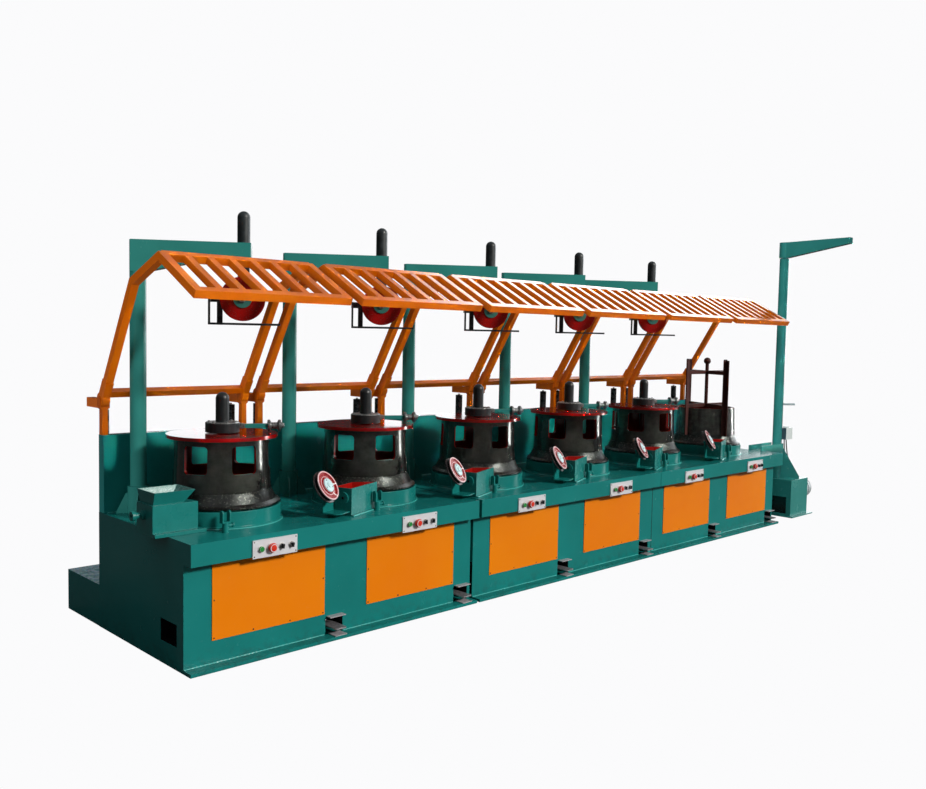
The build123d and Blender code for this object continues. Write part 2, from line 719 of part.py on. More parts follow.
def inlet_die_box():
    """First die box, overhanging the table's left end, with a soap hopper and a wire bush."""
    length, depth, t = INLET_L, INLET_W, HOPPER_WALL
    top = TABLE_Z + DIE_H
    outline = [(0, 0), (length, 0), (length, INLET_SIDE), (INLET_L_BACK, depth), (0, depth)]
    foot = [
        (0, -INLET_FOOT_OUT), (length + INLET_FOOT_L, -INLET_FOOT_OUT), (length + INLET_FOOT_L, 8),
        (length, INLET_SIDE), (0, INLET_SIDE),
    ]
    shape = prism_xy(outline, TABLE_Z, top) + prism_xy(foot, TABLE_Z, TABLE_Z + INLET_FOOT_T)
    over = (HOPPER_L - HOPPER_NECK_L) / 2 - t
    outer = loft([
        Pos(0, 0, top - 1) * Rectangle(HOPPER_NECK_L, HOPPER_NECK_W),
        Pos(over, 0, top + HOPPER_H) * Rectangle(HOPPER_L, HOPPER_W),
    ])
    inner = loft([
        Pos(0, 0, top - 1) * Rectangle(HOPPER_NECK_L - 2 * t, HOPPER_NECK_W - 2 * t),
        Pos(over, 0, top + HOPPER_H) * Rectangle(HOPPER_L - 2 * t, HOPPER_W - 2 * t),
    ])
    well = Pos(0, 0, TABLE_Z + (DIE_H + DIE_FLOOR) / 2) * Box(
        HOPPER_NECK_L - 2 * t, HOPPER_NECK_W - 2 * t, DIE_H - DIE_FLOOR
    )
    middle = Pos(HOPPER_IN + HOPPER_NECK_L / 2, depth / 2, 0)
    shape = shape + middle * outer - middle * inner - middle * well
    bush = turned([
        (WIRE_HOLE_R, 0), (BUSH_R, 0), (BUSH_R, BUSH_L * 0.2), (BUSH_NECK_R, BUSH_L * 0.26),
        (BUSH_NECK_R, BUSH_L * 0.66), (BUSH_R, BUSH_L * 0.72), (BUSH_R, BUSH_L), (WIRE_HOLE_R, BUSH_L),
    ])
    shape += Pos(0, BUSH_IN, WIRE_Z) * Rot(0, -90, 0) * bush
    return at_block(0) * Pos(INLET_AT[0], INLET_AT[1], 0) * shape


def wire_stop(bay):
    """Pin on the table with a forked head and a clamp bolt."""
    top = TABLE_Z + STOP_H
    half = STOP_GAP / 2 + STOP_EAR_T
    shape = Pos(0, 0, TABLE_Z) * rod(STOP_R, STOP_H)
    shape += slab(-half, half, -STOP_R, STOP_R, top - STOP_EAR_T, top)
    straight = STOP_EAR_H - STOP_R
    for x0 in (-half, STOP_GAP / 2):
        shape += slab(x0, x0 + STOP_EAR_T, -STOP_R, STOP_R, top - 1, top + straight)
        shape += Pos(x0, 0, top + straight) * rod_x(STOP_R, STOP_EAR_T)
    shape += Pos(0, 0, TABLE_Z + STOP_H * 0.6) * rod_x(STOP_BOLT_R, STOP_BOLT_L)
    shape += Pos(STOP_BOLT_L - 1, 0, TABLE_Z + STOP_H * 0.6) * rod_x(STOP_BOLT_R + 4, 9)
    return at_block(bay) * Pos(STOP_AT[0], STOP_AT[1], 0) * shape


def guard_arms(bay):
    """Centre lines of a guard's two side tubes."""
    left = LEFT + BAY * bay + GUARD_IN + TUBE / 2
    return left, left + GUARD_L - TUBE


def band(points, width):
    """Closed outline of a bent flat band along a line of points in Y and Z."""
    upper, lower = [], []
    for k, (y, z) in enumerate(points):
        before = points[max(k - 1, 0)]
        after = points[min(k + 1, len(points) - 1)]
        last = k == len(points) - 1
        into = math.atan2(z - before[1], y - before[0]) if k else math.atan2(after[1] - z, after[0] - y)
        out = into if last else math.atan2(after[1] - z, after[0] - y)
        mid = (into + out) / 2
        reach = width / 2 / math.cos((out - into) / 2)
        upper.append((y - reach * math.sin(mid), z + reach * math.cos(mid)))
        lower.append((y + reach * math.sin(mid), z - reach * math.cos(mid)))
    return upper + lower[::-1]


def guard_arm(x):
    """Bent side tube of a guard with its thicker foot, hinge boss and rear lever, about the pivot."""
    half = TUBE / 2
    wide = GUARD_SLEEVE_W / 2
    share = GUARD_SLEEVE_L / math.hypot(*BEND)
    arm = prism_yz(band([(0, 0), BEND, PEAK, NOSE], TUBE), x - half, x + half)
    arm += prism_yz(band([(0, 0), (BEND[0] * share, BEND[1] * share)], GUARD_SLEEVE), x - wide, x + wide)
    arm += Pos(x - wide, 0, 0) * rod_x(GUARD_BOSS_R, GUARD_SLEEVE_W)
    near = SUPPORT_D / 2 + LEVER_GAP
    arm += slab(x - wide, x + wide, near, LEVER_L, -LEVER_DROP - LEVER_H / 2, -LEVER_DROP + LEVER_H / 2)
    return arm


def guard(bay):
    """Swinging guard: two bent tubes, three cross tubes and a grille of slats."""
    left, right = guard_arms(bay)
    half = TUBE / 2
    shape = guard_arm(left) + guard_arm(right)
    tilt = math.degrees(math.atan2(-BEND[0], BEND[1]))
    near = SUPPORT_D / 2 + TIE_GAP
    shape += Rot(tilt, 0, 0) * slab(left, right, -TIE_T / 2, TIE_T / 2, near, near + TIE_T)
    slope = math.degrees(math.atan2(PEAK[1] - NOSE[1], PEAK[0] - NOSE[0]))
    reach = math.hypot(PEAK[0] - NOSE[0], PEAK[1] - NOSE[1])
    grille = slab(left - half, right + half, -half, half, -half, half)
    grille += slab(left, right, reach - half, reach + half, -half, half)
    pitch = (right - left) / (SLATS + 1)
    for k in range(1, SLATS + 1):
        x = left + pitch * k
        grille += slab(x - SLAT_W / 2, x + SLAT_W / 2, 0, reach, half - SLAT_W, half - 1)
    shape += Pos(0, NOSE[0], NOSE[1]) * Rot(slope, 0, 0) * grille
    for x in (left, right):
        shape -= Pos(x - TUBE, 0, 0) * rod_x(GUARD_PIN_R + RUNNING, 2 * TUBE)
    return Pos(0, PIVOT_Y, PIVOT_Z) * shape


def guard_support(x):
    """Tapered post on the rear wall with a saddle under the boss, two cheeks and the guard's hinge pin."""
    stem_top = PIVOT_Z - GUARD_BOSS_R + SUPPORT_GAP
    front = PIVOT_Y - SUPPORT_D / 2
    back = PIVOT_Y + SUPPORT_D / 2
    inner = GUARD_SLEEVE_W / 2 + CHEEK_GAP
    outer = inner + CHEEK_T
    lip = stem_top - 2 * CHEEK_T
    neck = lip - 2 * CHEEK_T
    shape = prism_xz(
        [(x - SUPPORT_FOOT_W / 2, WALL_TOP), (x + SUPPORT_FOOT_W / 2, WALL_TOP), (x + SUPPORT_TOP_W / 2, neck),
         (x + outer, lip), (x + outer, stem_top), (x - outer, stem_top), (x - outer, lip),
         (x - SUPPORT_TOP_W / 2, neck)],
        front, back,
    )
    shape -= Pos(x - outer - 1, PIVOT_Y, PIVOT_Z) * rod_x(GUARD_BOSS_R + SUPPORT_GAP, 2 * outer + 2)
    for x0 in (x - outer, x + inner):
        shape += slab(x0, x0 + CHEEK_T, front, back, lip + 1, PIVOT_Z)
        shape += Pos(x0, PIVOT_Y, PIVOT_Z) * rod_x(SUPPORT_D / 2, CHEEK_T)
    return shape + Pos(x - outer, PIVOT_Y, PIVOT_Z) * rod_x(GUARD_PIN_R, 2 * outer)


def guard_damper(x):
    """Damper on a lug behind the rear wall, under the guard's rear lever."""
    y = PIVOT_Y + DAMPER_OFF
    top = PIVOT_Z - LEVER_DROP - LEVER_H / 2 - DAMPER_GAP
    shape = Pos(x, y, top - DAMPER_L) * rod(DAMPER_R, DAMPER_L - DAMPER_STUB)
    shape += Pos(x, y, top - DAMPER_STUB - 1) * rod(ROD_R, DAMPER_STUB + 1)
    shape += slab(x - LUG_W / 2, x + LUG_W / 2, BACK_Y, y, top - DAMPER_L, top - DAMPER_L + LUG_T)
    return shape


def hoist_box():
    """Winch housing on a foot plate, with a rope slot in its left side."""
    out = HOIST_FOOT_OUT
    x1 = HOIST_X + HOIST_L
    y1 = HOIST_Y + HOIST_W
    shape = slab(HOIST_X, x1, HOIST_Y, y1, 0, HOIST_H)
    shape += slab(HOIST_X - out, x1 + out, HOIST_Y - out, y1 + out, 0, HOIST_FOOT_T)
    shape -= slab(HOIST_X - 1, HOIST_X + SLOT_DEPTH, HOIST_Y + SLOT_Y[0], HOIST_Y + SLOT_Y[1], *SLOT_Z)
    return shape


def hoist_motor():
    """Flanged motor with a fan cowl on the housing's right side."""
    flange = MOTOR_R + MOTOR_FLANGE
    cowl = MOTOR_L - MOTOR_COWL_L
    profile = [
        (0, 0), (flange, 0), (flange, MOTOR_FLANGE_T), (MOTOR_R, MOTOR_FLANGE_T), (MOTOR_R, cowl),
        (MOTOR_R + MOTOR_COWL, cowl), (MOTOR_R + MOTOR_COWL, MOTOR_L - 10), (MOTOR_R - 8, MOTOR_L), (0, MOTOR_L),
    ]
    return Pos(HOIST_X + HOIST_L, HOIST_Y + MOTOR_IN, MOTOR_UP) * Rot(0, 90, 0) * turned(profile)


def hoist_tower():
    """Round post on the winch housing with stay plates, a tie to the table, a peg and the boom's pin."""
    foot = Pos(TOWER_X, TOWER_Y, HOIST_H)
    shape = foot * rod(TOWER_R, TOWER_H)
    stay = prism_xz(
        [(0, 0), (STAY_L, 0), (STAY_L, STAY_TOP), (TOWER_R + STAY_TOP, STAY_H), (0, STAY_H)], -STAY_T / 2, STAY_T / 2
    )
    for turn in STAY_TURNS:
        shape += foot * Rot(0, 0, turn) * stay
    y0, y1 = TOWER_Y - TIE_PLATE_W / 2, TOWER_Y + TIE_PLATE_W / 2
    shape += slab(RIGHT, TOWER_X, y0, y1, TABLE_Z - TIE_PLATE_T, TABLE_Z)
    for edge in (y0, y1 - TIE_UPSTAND_T):
        shape += slab(RIGHT, TOWER_X, edge, edge + TIE_UPSTAND_T, TABLE_Z - 1, TABLE_Z + TIE_UPSTAND)
    shape += Pos(TOWER_X, TOWER_Y, PEG_Z) * Rot(0, 0, PEG_TURN) * rod_x(PEG_R, TOWER_R + PEG_L)
    pin_l = BOOM_GAP + BOOM_DEEP - 2 * BOOM_ROOF
    return shape + Pos(TOWER_X, TOWER_Y, TOWER_TOP - 1) * rod(TOWER_PIN_R, pin_l + 1)


def hoist_boom():
    """Tapering jib that swings on the tower's pin."""
    low = TOWER_TOP + BOOM_GAP
    top = low + BOOM_DEEP
    beam = prism_xz(
        [(-TOWER_R, top), (-TOWER_R, low), (TOWER_R, low), (BOOM_L, top - BOOM_TIP_DEEP), (BOOM_L, top)],
        -BOOM_W / 2, BOOM_W / 2,
    )
    beam += Pos(0, 0, low) * rod(TOWER_R, BOOM_DEEP)
    beam -= Pos(0, 0, low - 1) * rod(TOWER_PIN_R + RUNNING, BOOM_DEEP - BOOM_ROOF + 1)
    return Pos(TOWER_X, TOWER_Y, 0) * Rot(0, 0, BOOM_TURN) * beam


def box_place():
    """Front left lower corner of the junction box, against the tower's right side."""
    return TOWER_X + TOWER_R, TOWER_Y - JBOX_W + TOWER_R / 8


def junction_box():
    """Junction box on the tower with a round gland on its top."""
    x0, y0 = box_place()
    shape = slab(x0, x0 + JBOX_L, y0, y0 + JBOX_W, JBOX_Z, JBOX_Z + JBOX_H)
    gland = Pos(x0 + JBOX_L / 2, y0 + JBOX_W / 2, JBOX_Z + JBOX_H - 1)
    return shape + gland * rod(JBOX_GLAND_R, JBOX_GLAND_H + 1)


def hoist_cables():
    """Two cables from the junction box down to the winch housing."""
    x0, y0 = box_place()
    y = y0 + JBOX_W / 2
    low = HOIST_H + CABLE_SEAT
    cables = []
    for start, end in ((0.30, 0.72), (0.62, 1.30)):
        sx, ex = x0 + JBOX_L * start, x0 + JBOX_L * end
        top = JBOX_Z - CABLE_SEAT
        path = FilletPolyline(
            (sx, y, top), (sx, y, top - CABLE_BEND), (ex, y, low + CABLE_BEND), (ex, y, low), radius=CABLE_BEND / 2
        )
        cables.append(sweep(Plane(origin=(sx, y, top), z_dir=(0, 0, -1)) * Circle(CABLE_R), path=path))
    return cables


def coil_frame():
    """Lifting frame of angle iron claws, cross bars and a centre rod with a ball."""
    half = CLAW_LEG / 2
    claw = Pos(CLAW_R, 0, 0) * prism_xy(
        [(0, -half), (CLAW_T, -half), (CLAW_T, half - CLAW_T), (CLAW_LEG, half - CLAW_T), (CLAW_LEG, half), (0, half)],
        CLAW_FOOT, CLAW_FOOT + CLAW_H,
    )
    bar = slab(0, CLAW_R + 1, -CROSS_T / 2, CROSS_T / 2, PLAIN_Z, PLAIN_Z + CROSS_H)
    shape = Pos(0, 0, PLAIN_Z) * rod(CENTRE_R, ROD_H) + Pos(0, 0, PLAIN_Z + ROD_H) * Sphere(BALL_R)
    for turn in CLAW_TURNS:
        shape += Rot(0, 0, turn) * (claw + bar + Pos(0, 0, CROSS_UP) * bar)
    return at_block(BAYS - 1) * shape


def splash_wall():
    """Folded wall along the back of the table."""
    return slab(LEFT, RIGHT, WALL_Y, BACK_Y, TABLE_Z, WALL_TOP)


def rear_step_box():
    """Low covered box along the back, on the floor."""
    return slab(LEFT, RIGHT, BACK_Y, BACK_Y + STEP_W, 0, STEP_H)


def save(name, shapes):
    """Write one node; separate solids of like pieces share a file."""
    pieces = shapes if isinstance(shapes, list) else [shapes]
    solids = [solid for piece in pieces for solid in piece.solids()]
    export_step(solids[0] if len(solids) == 1 else Compound(children=solids), f"parts/{name}.step")


os.makedirs("parts", exist_ok=True)
bays = range(BAYS)
arm_lines = [x for bay in bays for x in guard_arms(bay)]
damper_lines = [x + side * DAMPER_SIDE for bay in bays for x, side in zip(guard_arms(bay), (1, -1))]

for unit in range(UNITS):
    save(f"base_unit_{unit + 1}", base_unit(unit))
save("rear_step_box", rear_step_box())
save("splash_wall", splash_wall())
save("front_panels", [front_panel(bay) for bay in bays])
save("control_plates", [control_plate(bay) for bay in bays])
save("block_seats", [block_seat(bay) for bay in bays])
save("wire_stops", [wire_stop(bay) for bay in bays])
save("inlet_die_box", inlet_die_box())
save("die_boxes", [die_box(bay) for bay in bays[1:]])
save("wheel_brackets", [wheel_bracket(bay) for bay in bays[1:]])
save("sheave_posts", [sheave_post(bay) for bay in bays[:-1]])
save("jib_caps", [jib_cap(bay) for bay in bays[:-1]])
save("sheave_hangers", [sheave_hanger(bay) for bay in bays[:-1]])
save("guard_supports", [guard_support(x) for x in arm_lines])
save("guard_dampers", [guard_damper(x) for x in damper_lines])
save("hoist_box", hoist_box())
save("hoist_motor", hoist_motor())
save("hoist_tower", hoist_tower())
save("junction_box", junction_box())
save("hoist_cables", hoist_cables())

for bay in bays[:-1]:
    save(f"block_{bay + 1}", drawing_block(bay))
    save(f"flyer_{bay + 1}", flyer(bay))
    save(f"sheave_{bay + 1}", sheave(bay))
save(f"block_{BAYS}", finishing_block())
save("coil_frame", coil_frame())
for bay in bays[1:]:
    save(f"guide_wheel_{bay + 1}", guide_wheel(bay))
for bay in bays:
    save(f"guard_{bay + 1}", guard(bay))
    save(f"pedal_{bay + 1}", pedal(bay // BAYS_PER_UNIT, bay % BAYS_PER_UNIT))
save("hoist_boom", hoist_boom())
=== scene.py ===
import math

import bmesh
import bpy
import numpy as np
from mathutils import Matrix, Vector


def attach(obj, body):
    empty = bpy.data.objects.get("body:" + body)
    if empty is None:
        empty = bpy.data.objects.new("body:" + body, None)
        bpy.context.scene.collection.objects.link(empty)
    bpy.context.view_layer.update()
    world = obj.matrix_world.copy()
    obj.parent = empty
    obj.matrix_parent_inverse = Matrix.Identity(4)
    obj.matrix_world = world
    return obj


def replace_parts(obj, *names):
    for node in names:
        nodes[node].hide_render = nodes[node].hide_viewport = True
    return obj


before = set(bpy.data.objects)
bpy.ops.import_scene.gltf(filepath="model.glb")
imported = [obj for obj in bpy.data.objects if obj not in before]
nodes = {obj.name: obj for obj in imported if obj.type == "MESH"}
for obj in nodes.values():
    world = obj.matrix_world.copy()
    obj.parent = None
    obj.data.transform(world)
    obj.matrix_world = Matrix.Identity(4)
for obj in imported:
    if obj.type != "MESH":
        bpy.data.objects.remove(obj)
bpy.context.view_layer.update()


# Cabinets: three welded steel cabinets that carry the table, with an apron in front, a lip on the floor and pockets
# for the foot pedals. They are sprayed with green enamel, whose corners are slightly rounded by the paint.
BAY = 1.06
LEFT = -3.18
TABLE_Z = 0.7
FRONT_Y = -0.49
LIP_Z = 0.02
CABINET_END = (-1.085, 1.056, 3.15)
BACK_Y = 0.56
PEDAL_PLATES_TOP = 0.14
POCKETS_TOP = 0.26
PAINT_EDGE = 0.003
GREEN = "#187D7A"
PLATE_GREY = "#A9A6AC"
# Near black painted inside the pedal pockets and the end hole: painted shade of the recesses.
POCKET_PAINTED_SHADE = "#16191B"


def linear(code):
    """sRGB hex to linear colour: each channel c becomes ((c + 0.055) / 1.055) ** 2.4, or c / 12.92 near black."""
    c = np.array([int(code[k:k + 2], 16) for k in (1, 3, 5)]) / 255
    c = np.where(c <= 0.04045, c / 12.92, ((c + 0.055) / 1.055) ** 2.4)
    return (*c.tolist(), 1.0)


def add(tree, kind, *inputs, out=0, **settings):
    """Adds one shader node, sets its properties, fills its inputs in order or by name with outputs of other nodes,
    numbers or hex colours, and returns an output."""
    node = tree.nodes.new("ShaderNode" + kind)
    for key, value in settings.items():
        setattr(node, key, value)
    named = inputs[0].items() if inputs and isinstance(inputs[0], dict) else enumerate(inputs)
    for key, value in named:
        if isinstance(value, bpy.types.NodeSocket):
            tree.links.new(value, node.inputs[key])
        else:
            node.inputs[key].default_value = linear(value) if isinstance(value, str) else value
    return node.outputs[out]


def surface(name, **constants):
    """New material with its shader's own sockets set. Returns the material, its tree, its shader's inputs and the
    place on the object, in metres, that its patterns follow."""
    material = bpy.data.materials.new(name)
    material.use_nodes = True
    tree = material.node_tree
    inputs = tree.nodes["Principled BSDF"].inputs
    for key, value in constants.items():
        inputs[key.replace("_", " ")].default_value = value
    return material, tree, inputs, add(tree, "TexCoord", out="Object")


def where(tree, *tests):
    """1 where every test holds and 0 elsewhere: each is a value, > or <, and its limit."""
    mask = None
    for value, way, limit in tests:
        test = add(tree, "Math", value, limit, operation={">": "GREATER_THAN", "<": "LESS_THAN"}[way])
        mask = test if mask is None else add(tree, "Math", mask, test, operation="MULTIPLY")
    return mask


def paint_coat(tree, inputs, place, colour, rough=0.17, cloud=0.5):
    """Sprayed enamel on colour (a socket or a value): clouds of thinner paint half a metre wide darken it a little,
    a finer noise breaks up its gloss, and orange peel, 6 mm here because 2 mm is too fine to show, is its bump."""
    thin = add(tree, "TexNoise", {"Vector": place, "Scale": 1 / cloud, "Detail": 3.0})
    thin = add(tree, "MapRange", thin, 0.35, 0.7, 0.0, 0.22)
    tint = add(tree, "Mix", {0: thin, 6: colour, 7: "#0C2F2B"}, out=2, data_type="RGBA", blend_type="SOFT_LIGHT")
    dust = add(tree, "TexNoise", {"Vector": place, "Scale": 1 / 0.02, "Detail": 4.0, "Roughness": 0.7})
    dust = add(tree, "MapRange", dust, 0.62, 0.78, 0.0, 0.04)
    tint = add(tree, "Mix", {0: dust, 6: tint, 7: "#B9C9C4"}, out=2, data_type="RGBA")
    smear = add(tree, "TexNoise", {"Vector": place, "Scale": 1 / 0.09, "Detail": 5.0})
    tree.links.new(add(tree, "MapRange", smear, 0.3, 0.75, rough - 0.05, rough + 0.12), inputs["Roughness"])
    peel = add(tree, "TexNoise", {"Vector": place, "Scale": 1 / 0.006, "Detail": 1.0})
    tree.links.new(add(tree, "Bump", {"Strength": 0.25, "Distance": 0.0003, "Height": peel}), inputs["Normal"])
    tree.links.new(tint, inputs["Base Color"])
    return tint


def enamel(name, colour, rough=0.17, cloud=0.5, gloss=0.3):
    """Alkyd enamel sprayed over steel in one colour: a smooth, fairly glossy skin with faint orange peel. gloss is
    the shader's specular level, below 0.5 where the paint has chalked."""
    material, tree, inputs, place = surface(name, IOR=1.5, Specular_IOR_Level=gloss)
    paint_coat(tree, inputs, place, colour, rough, cloud)
    return material


def cabinet_paint():
    """Green alkyd enamel. Inside the pockets and the end hole the steel is painted near black as painted shade of those
    recesses, and the small plates at each pedal are bare galvanised steel: both are told by where they lie, behind or
    before the cabinets' front."""
    material, tree, inputs, place = surface("alkyd_enamel_green_cabinet", IOR=1.5, Specular_IOR_Level=0.25)
    x, y, z = add(tree, "SeparateXYZ", place).node.outputs
    above_lip = (z, ">", LIP_Z + 0.0004)
    bare = where(tree, (y, "<", FRONT_Y - 0.0005), (z, "<", PEDAL_PLATES_TOP), above_lip)
    # Painted shade: the recesses inside the cabinets are coloured near black.
    pocket_shade = where(tree, (y, ">", FRONT_Y + PAINT_EDGE), (y, "<", BACK_Y), (x, ">", LEFT + PAINT_EDGE),
                   (x, "<", CABINET_END[2] - 0.005), (z, "<", POCKETS_TOP), above_lip)
    colour = add(tree, "Mix", {0: bare, 6: GREEN, 7: PLATE_GREY}, out=2, data_type="RGBA")
    colour = add(tree, "Mix", {0: pocket_shade, 6: colour, 7: POCKET_PAINTED_SHADE}, out=2, data_type="RGBA")
    tint = paint_coat(tree, inputs, place, colour)
    grime = add(tree, "TexNoise", {"Vector": place, "Scale": 1 / 0.05, "Detail": 6.0, "Roughness": 0.65})
    near_floor = add(tree, "MapRange", z, 0.0, 0.12, 0.5, 0.0)
    grime = add(tree, "Math", add(tree, "MapRange", grime, 0.45, 0.7), near_floor, operation="MULTIPLY")
    tint = add(tree, "Mix", {0: grime, 6: tint, 7: "#2B2F2A"}, out=2, data_type="RGBA")
    tree.links.new(tint, inputs["Base Color"])
    return material


def dress(names, material):
    """Gives CAD nodes their finish through their objects' material slots."""
    for name in names:
        for slot in nodes[name].material_slots:
            slot.material = material


def eased(name, width, material, body="machine_frame"):
    """A copy of a CAD node whose sharp corners are broken: its flat triangles are joined into whole faces, and each
    edge turning by more than 30 degrees is rolled over by width. It stands for that node."""
    mesh = nodes[name].data.copy()
    for layer in [a for a in mesh.attributes if a.name in ("custom_normal", "sharp_edge", "sharp_face")]:
        mesh.attributes.remove(layer)
    form = bmesh.new()
    form.from_mesh(mesh)
    bmesh.ops.remove_doubles(form, verts=form.verts, dist=2e-5)
    bmesh.ops.dissolve_limit(form, angle_limit=math.radians(0.6), verts=form.verts, edges=form.edges)
    form.to_mesh(mesh)
    form.free()
    mesh.shade_smooth()
    mesh.set_sharp_from_angle(angle=math.radians(32))
    mesh.materials.clear()
    mesh.materials.append(material)
    piece = bpy.data.objects.new(name + "_finished", mesh)
    bpy.context.scene.collection.objects.link(piece)
    roll = piece.modifiers.new("rounded_edges", "BEVEL")
    roll.width = width
    roll.segments = 2
    roll.limit_method = "ANGLE"
    roll.angle_limit = math.radians(30)
    roll.use_clamp_overlap = True
    roll.harden_normals = True
    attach(piece, body)
    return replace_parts(piece, name)


cabinet_green = cabinet_paint()
for k in (1, 2, 3):
    eased(f"base_unit_{k}", 0.003, cabinet_green)


def skins(name, grids, material, body="machine_frame", angle=35):
    """One object from grids of points. Points (i, j), (i+1, j), (i+1, j+1), (i, j+1) make each face, the second
    direction closes on itself, and rows that shrink to a point are merged into poles."""
    points, faces, first = [], [], 0
    for grid in grids:
        rows, cols = grid.shape[:2]
        i, j = np.meshgrid(np.arange(rows - 1), np.arange(cols), indexing="ij")
        right = (j + 1) % cols
        corner = [i * cols + j, i * cols + right, (i + 1) * cols + right, (i + 1) * cols + j]
        faces.append(first + np.stack(corner, axis=-1).reshape(-1, 4))
        points.append(grid.reshape(-1, 3))
        first += rows * cols
    mesh = bpy.data.meshes.new(name)
    mesh.from_pydata(np.concatenate(points).tolist(), [], np.concatenate(faces).tolist())
    form = bmesh.new()
    form.from_mesh(mesh)
    bmesh.ops.remove_doubles(form, verts=form.verts, dist=1e-6)
    bmesh.ops.recalc_face_normals(form, faces=form.faces)
    form.to_mesh(mesh)
    form.free()
    mesh.shade_smooth()
    mesh.set_sharp_from_angle(angle=math.radians(angle))
    mesh.materials.append(material)
    piece = bpy.data.objects.new(name, mesh)
    bpy.context.scene.collection.objects.link(piece)
    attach(piece, body)
    return piece


def tube_along(path, radius, ripple=0.0, closed=False):
    """Six-sided bar carried along a path of points: each point plus radius times cos and sin of the turn, in the
    plane across the path. ripple swells and thins it along its length, as a weld's beads do."""
    sides = 6
    path = np.asarray(path, float)
    ahead = np.roll(path, -1, axis=0) - np.roll(path, 1, axis=0) if closed else np.gradient(path, axis=0)
    ahead /= np.linalg.norm(ahead, axis=1, keepdims=True)
    up = np.where(np.abs(ahead[:, 2:]) > 0.9, [[1.0, 0, 0]], [[0, 0, 1.0]])
    side = np.cross(ahead, up)
    side /= np.linalg.norm(side, axis=1, keepdims=True)
    up = np.cross(side, ahead)
    turn = np.linspace(0, 2 * np.pi, sides, endpoint=False)
    swell = radius * (1 + ripple * np.sin(np.arange(len(path)) * 2.1))[:, None, None]
    ring = np.cos(turn)[None, :, None] * side[:, None, :] + np.sin(turn)[None, :, None] * up[:, None, :]
    grid = path[:, None, :] + swell * ring
    if closed:
        return np.concatenate([grid, grid[:1]])
    ends = [np.repeat(path[k:k + 1, None, :], sides, axis=1) for k in (0, -1)]
    return np.concatenate([ends[0], grid, ends[1]])


# Floor weld: the seam between each cabinet's front sheet and its floor lip, a bead laid by hand and painted over. It
# stops at the pedal pockets. Its round back catches the light as a thin bright line, and its paint is also drawn paler
# than the cabinets' green as a painted highlight.
PANEL_IN = (0.163, 0.145)
PANEL_LONG = 0.73
POCKET_GAP = 0.01
POCKET_WIDE = 0.125
MASTIC_TOP = 0.565


def pocket_left(bay):
    """X of a pedal pocket's left side."""
    return LEFT + BAY * bay + PANEL_IN[bay % 2] + PANEL_LONG + POCKET_GAP


def seam(x0, x1, y, z, radius=0.004):
    """A straight bead along X with a swelling every 4 mm or so, sampled each 8 mm."""
    x = np.arange(x0, x1, 0.008)
    return tube_along(np.stack([x, np.full_like(x, y), np.full_like(x, z)], axis=-1), radius, 0.18)


# Weld paint is paler than the green it is painted over: a painted highlight along every bead.
weld_paint_highlight = enamel("green_enamel_over_weld_painted_highlight", "#46ABA6", rough=0.12, gloss=0.9)
beads = []
for unit in range(3):
    stops = [LEFT + 2 * BAY * unit]
    for bay in (2 * unit, 2 * unit + 1):
        stops += [pocket_left(bay), pocket_left(bay) + POCKET_WIDE]
    stops.append(CABINET_END[unit])
    beads += [seam(stops[k] + 0.004, stops[k + 1] - 0.004, FRONT_Y - 0.001, LIP_Z + 0.001) for k in (0, 2, 4)
              if stops[k + 1] - stops[k] > 0.03]
skins("floor_lip_welds", beads, weld_paint_highlight)
z = np.arange(LIP_Z + 0.006, MASTIC_TOP, 0.02)
x = np.full_like(z, (CABINET_END[1] + LEFT + 4 * BAY) / 2)
joint = tube_along(np.stack([x, np.full_like(z, FRONT_Y + 0.0015), z], axis=-1), 0.0035)
skins("cabinet_joint_mastic", [joint], enamel("bitumen_mastic_black", "#0A1413", rough=0.5))


# Rear wall and the low box behind the table: folded sheet, painted as the cabinets. The low box's top is a bare
# galvanised tread plate, whose zinc flowers and dust show as light specks.
STEP_TOP = 0.257
WALL_FACE_Y = 0.499


def step_box_skin():
    """Green enamel on the sides and hot-dip galvanised sheet on the top, told by height; the zinc's grains are 12 mm
    cells of slightly different grey."""
    material, tree, inputs, place = surface("galvanised_tread_over_green_box", IOR=1.5, Specular_IOR_Level=0.3)
    top = where(tree, (add(tree, "SeparateXYZ", place, out=2), ">", STEP_TOP - 0.0008))
    flower = add(tree, "TexVoronoi", {"Vector": place, "Scale": 1 / 0.012}, out=1)
    flower = add(tree, "Mix", {0: 0.28, 6: "#B4DCE6", 7: flower}, out=2, data_type="RGBA")
    speck = add(tree, "TexNoise", {"Vector": place, "Scale": 1 / 0.03, "Detail": 6.0, "Roughness": 0.75})
    zinc = add(tree, "Mix", {0: add(tree, "MapRange", speck, 0.45, 0.62), 6: flower, 7: "#6A929A"}, out=2,
               data_type="RGBA")
    colour = add(tree, "Mix", {0: top, 6: GREEN, 7: zinc}, out=2, data_type="RGBA")
    paint_coat(tree, inputs, place, colour)
    tree.links.new(add(tree, "Math", top, 0.15, operation="MULTIPLY"), inputs["Metallic"])
    return material


table_green = enamel("alkyd_enamel_green_sheet", GREEN)
eased("splash_wall", 0.003, table_green)
eased("rear_step_box", 0.003, step_box_skin())
wall_foot = [seam(LEFT + 0.02, -LEFT - 0.02, WALL_FACE_Y, TABLE_Z + 0.001, 0.005)]
skins("wall_foot_weld", wall_foot, weld_paint_highlight)


# Service panels: flat sheet steel covers on the cabinets' fronts, sprayed orange and held by small dark pan-head
# screws near their edges.
PANEL_FACE = -0.494
PANEL_BOTTOM, PANEL_TOP = 0.145, 0.58
SCREW_R = 0.0045
SCREW_IN = 0.012
SCREW_ALONG = (0.016, 0.345, 0.672, 0.984)


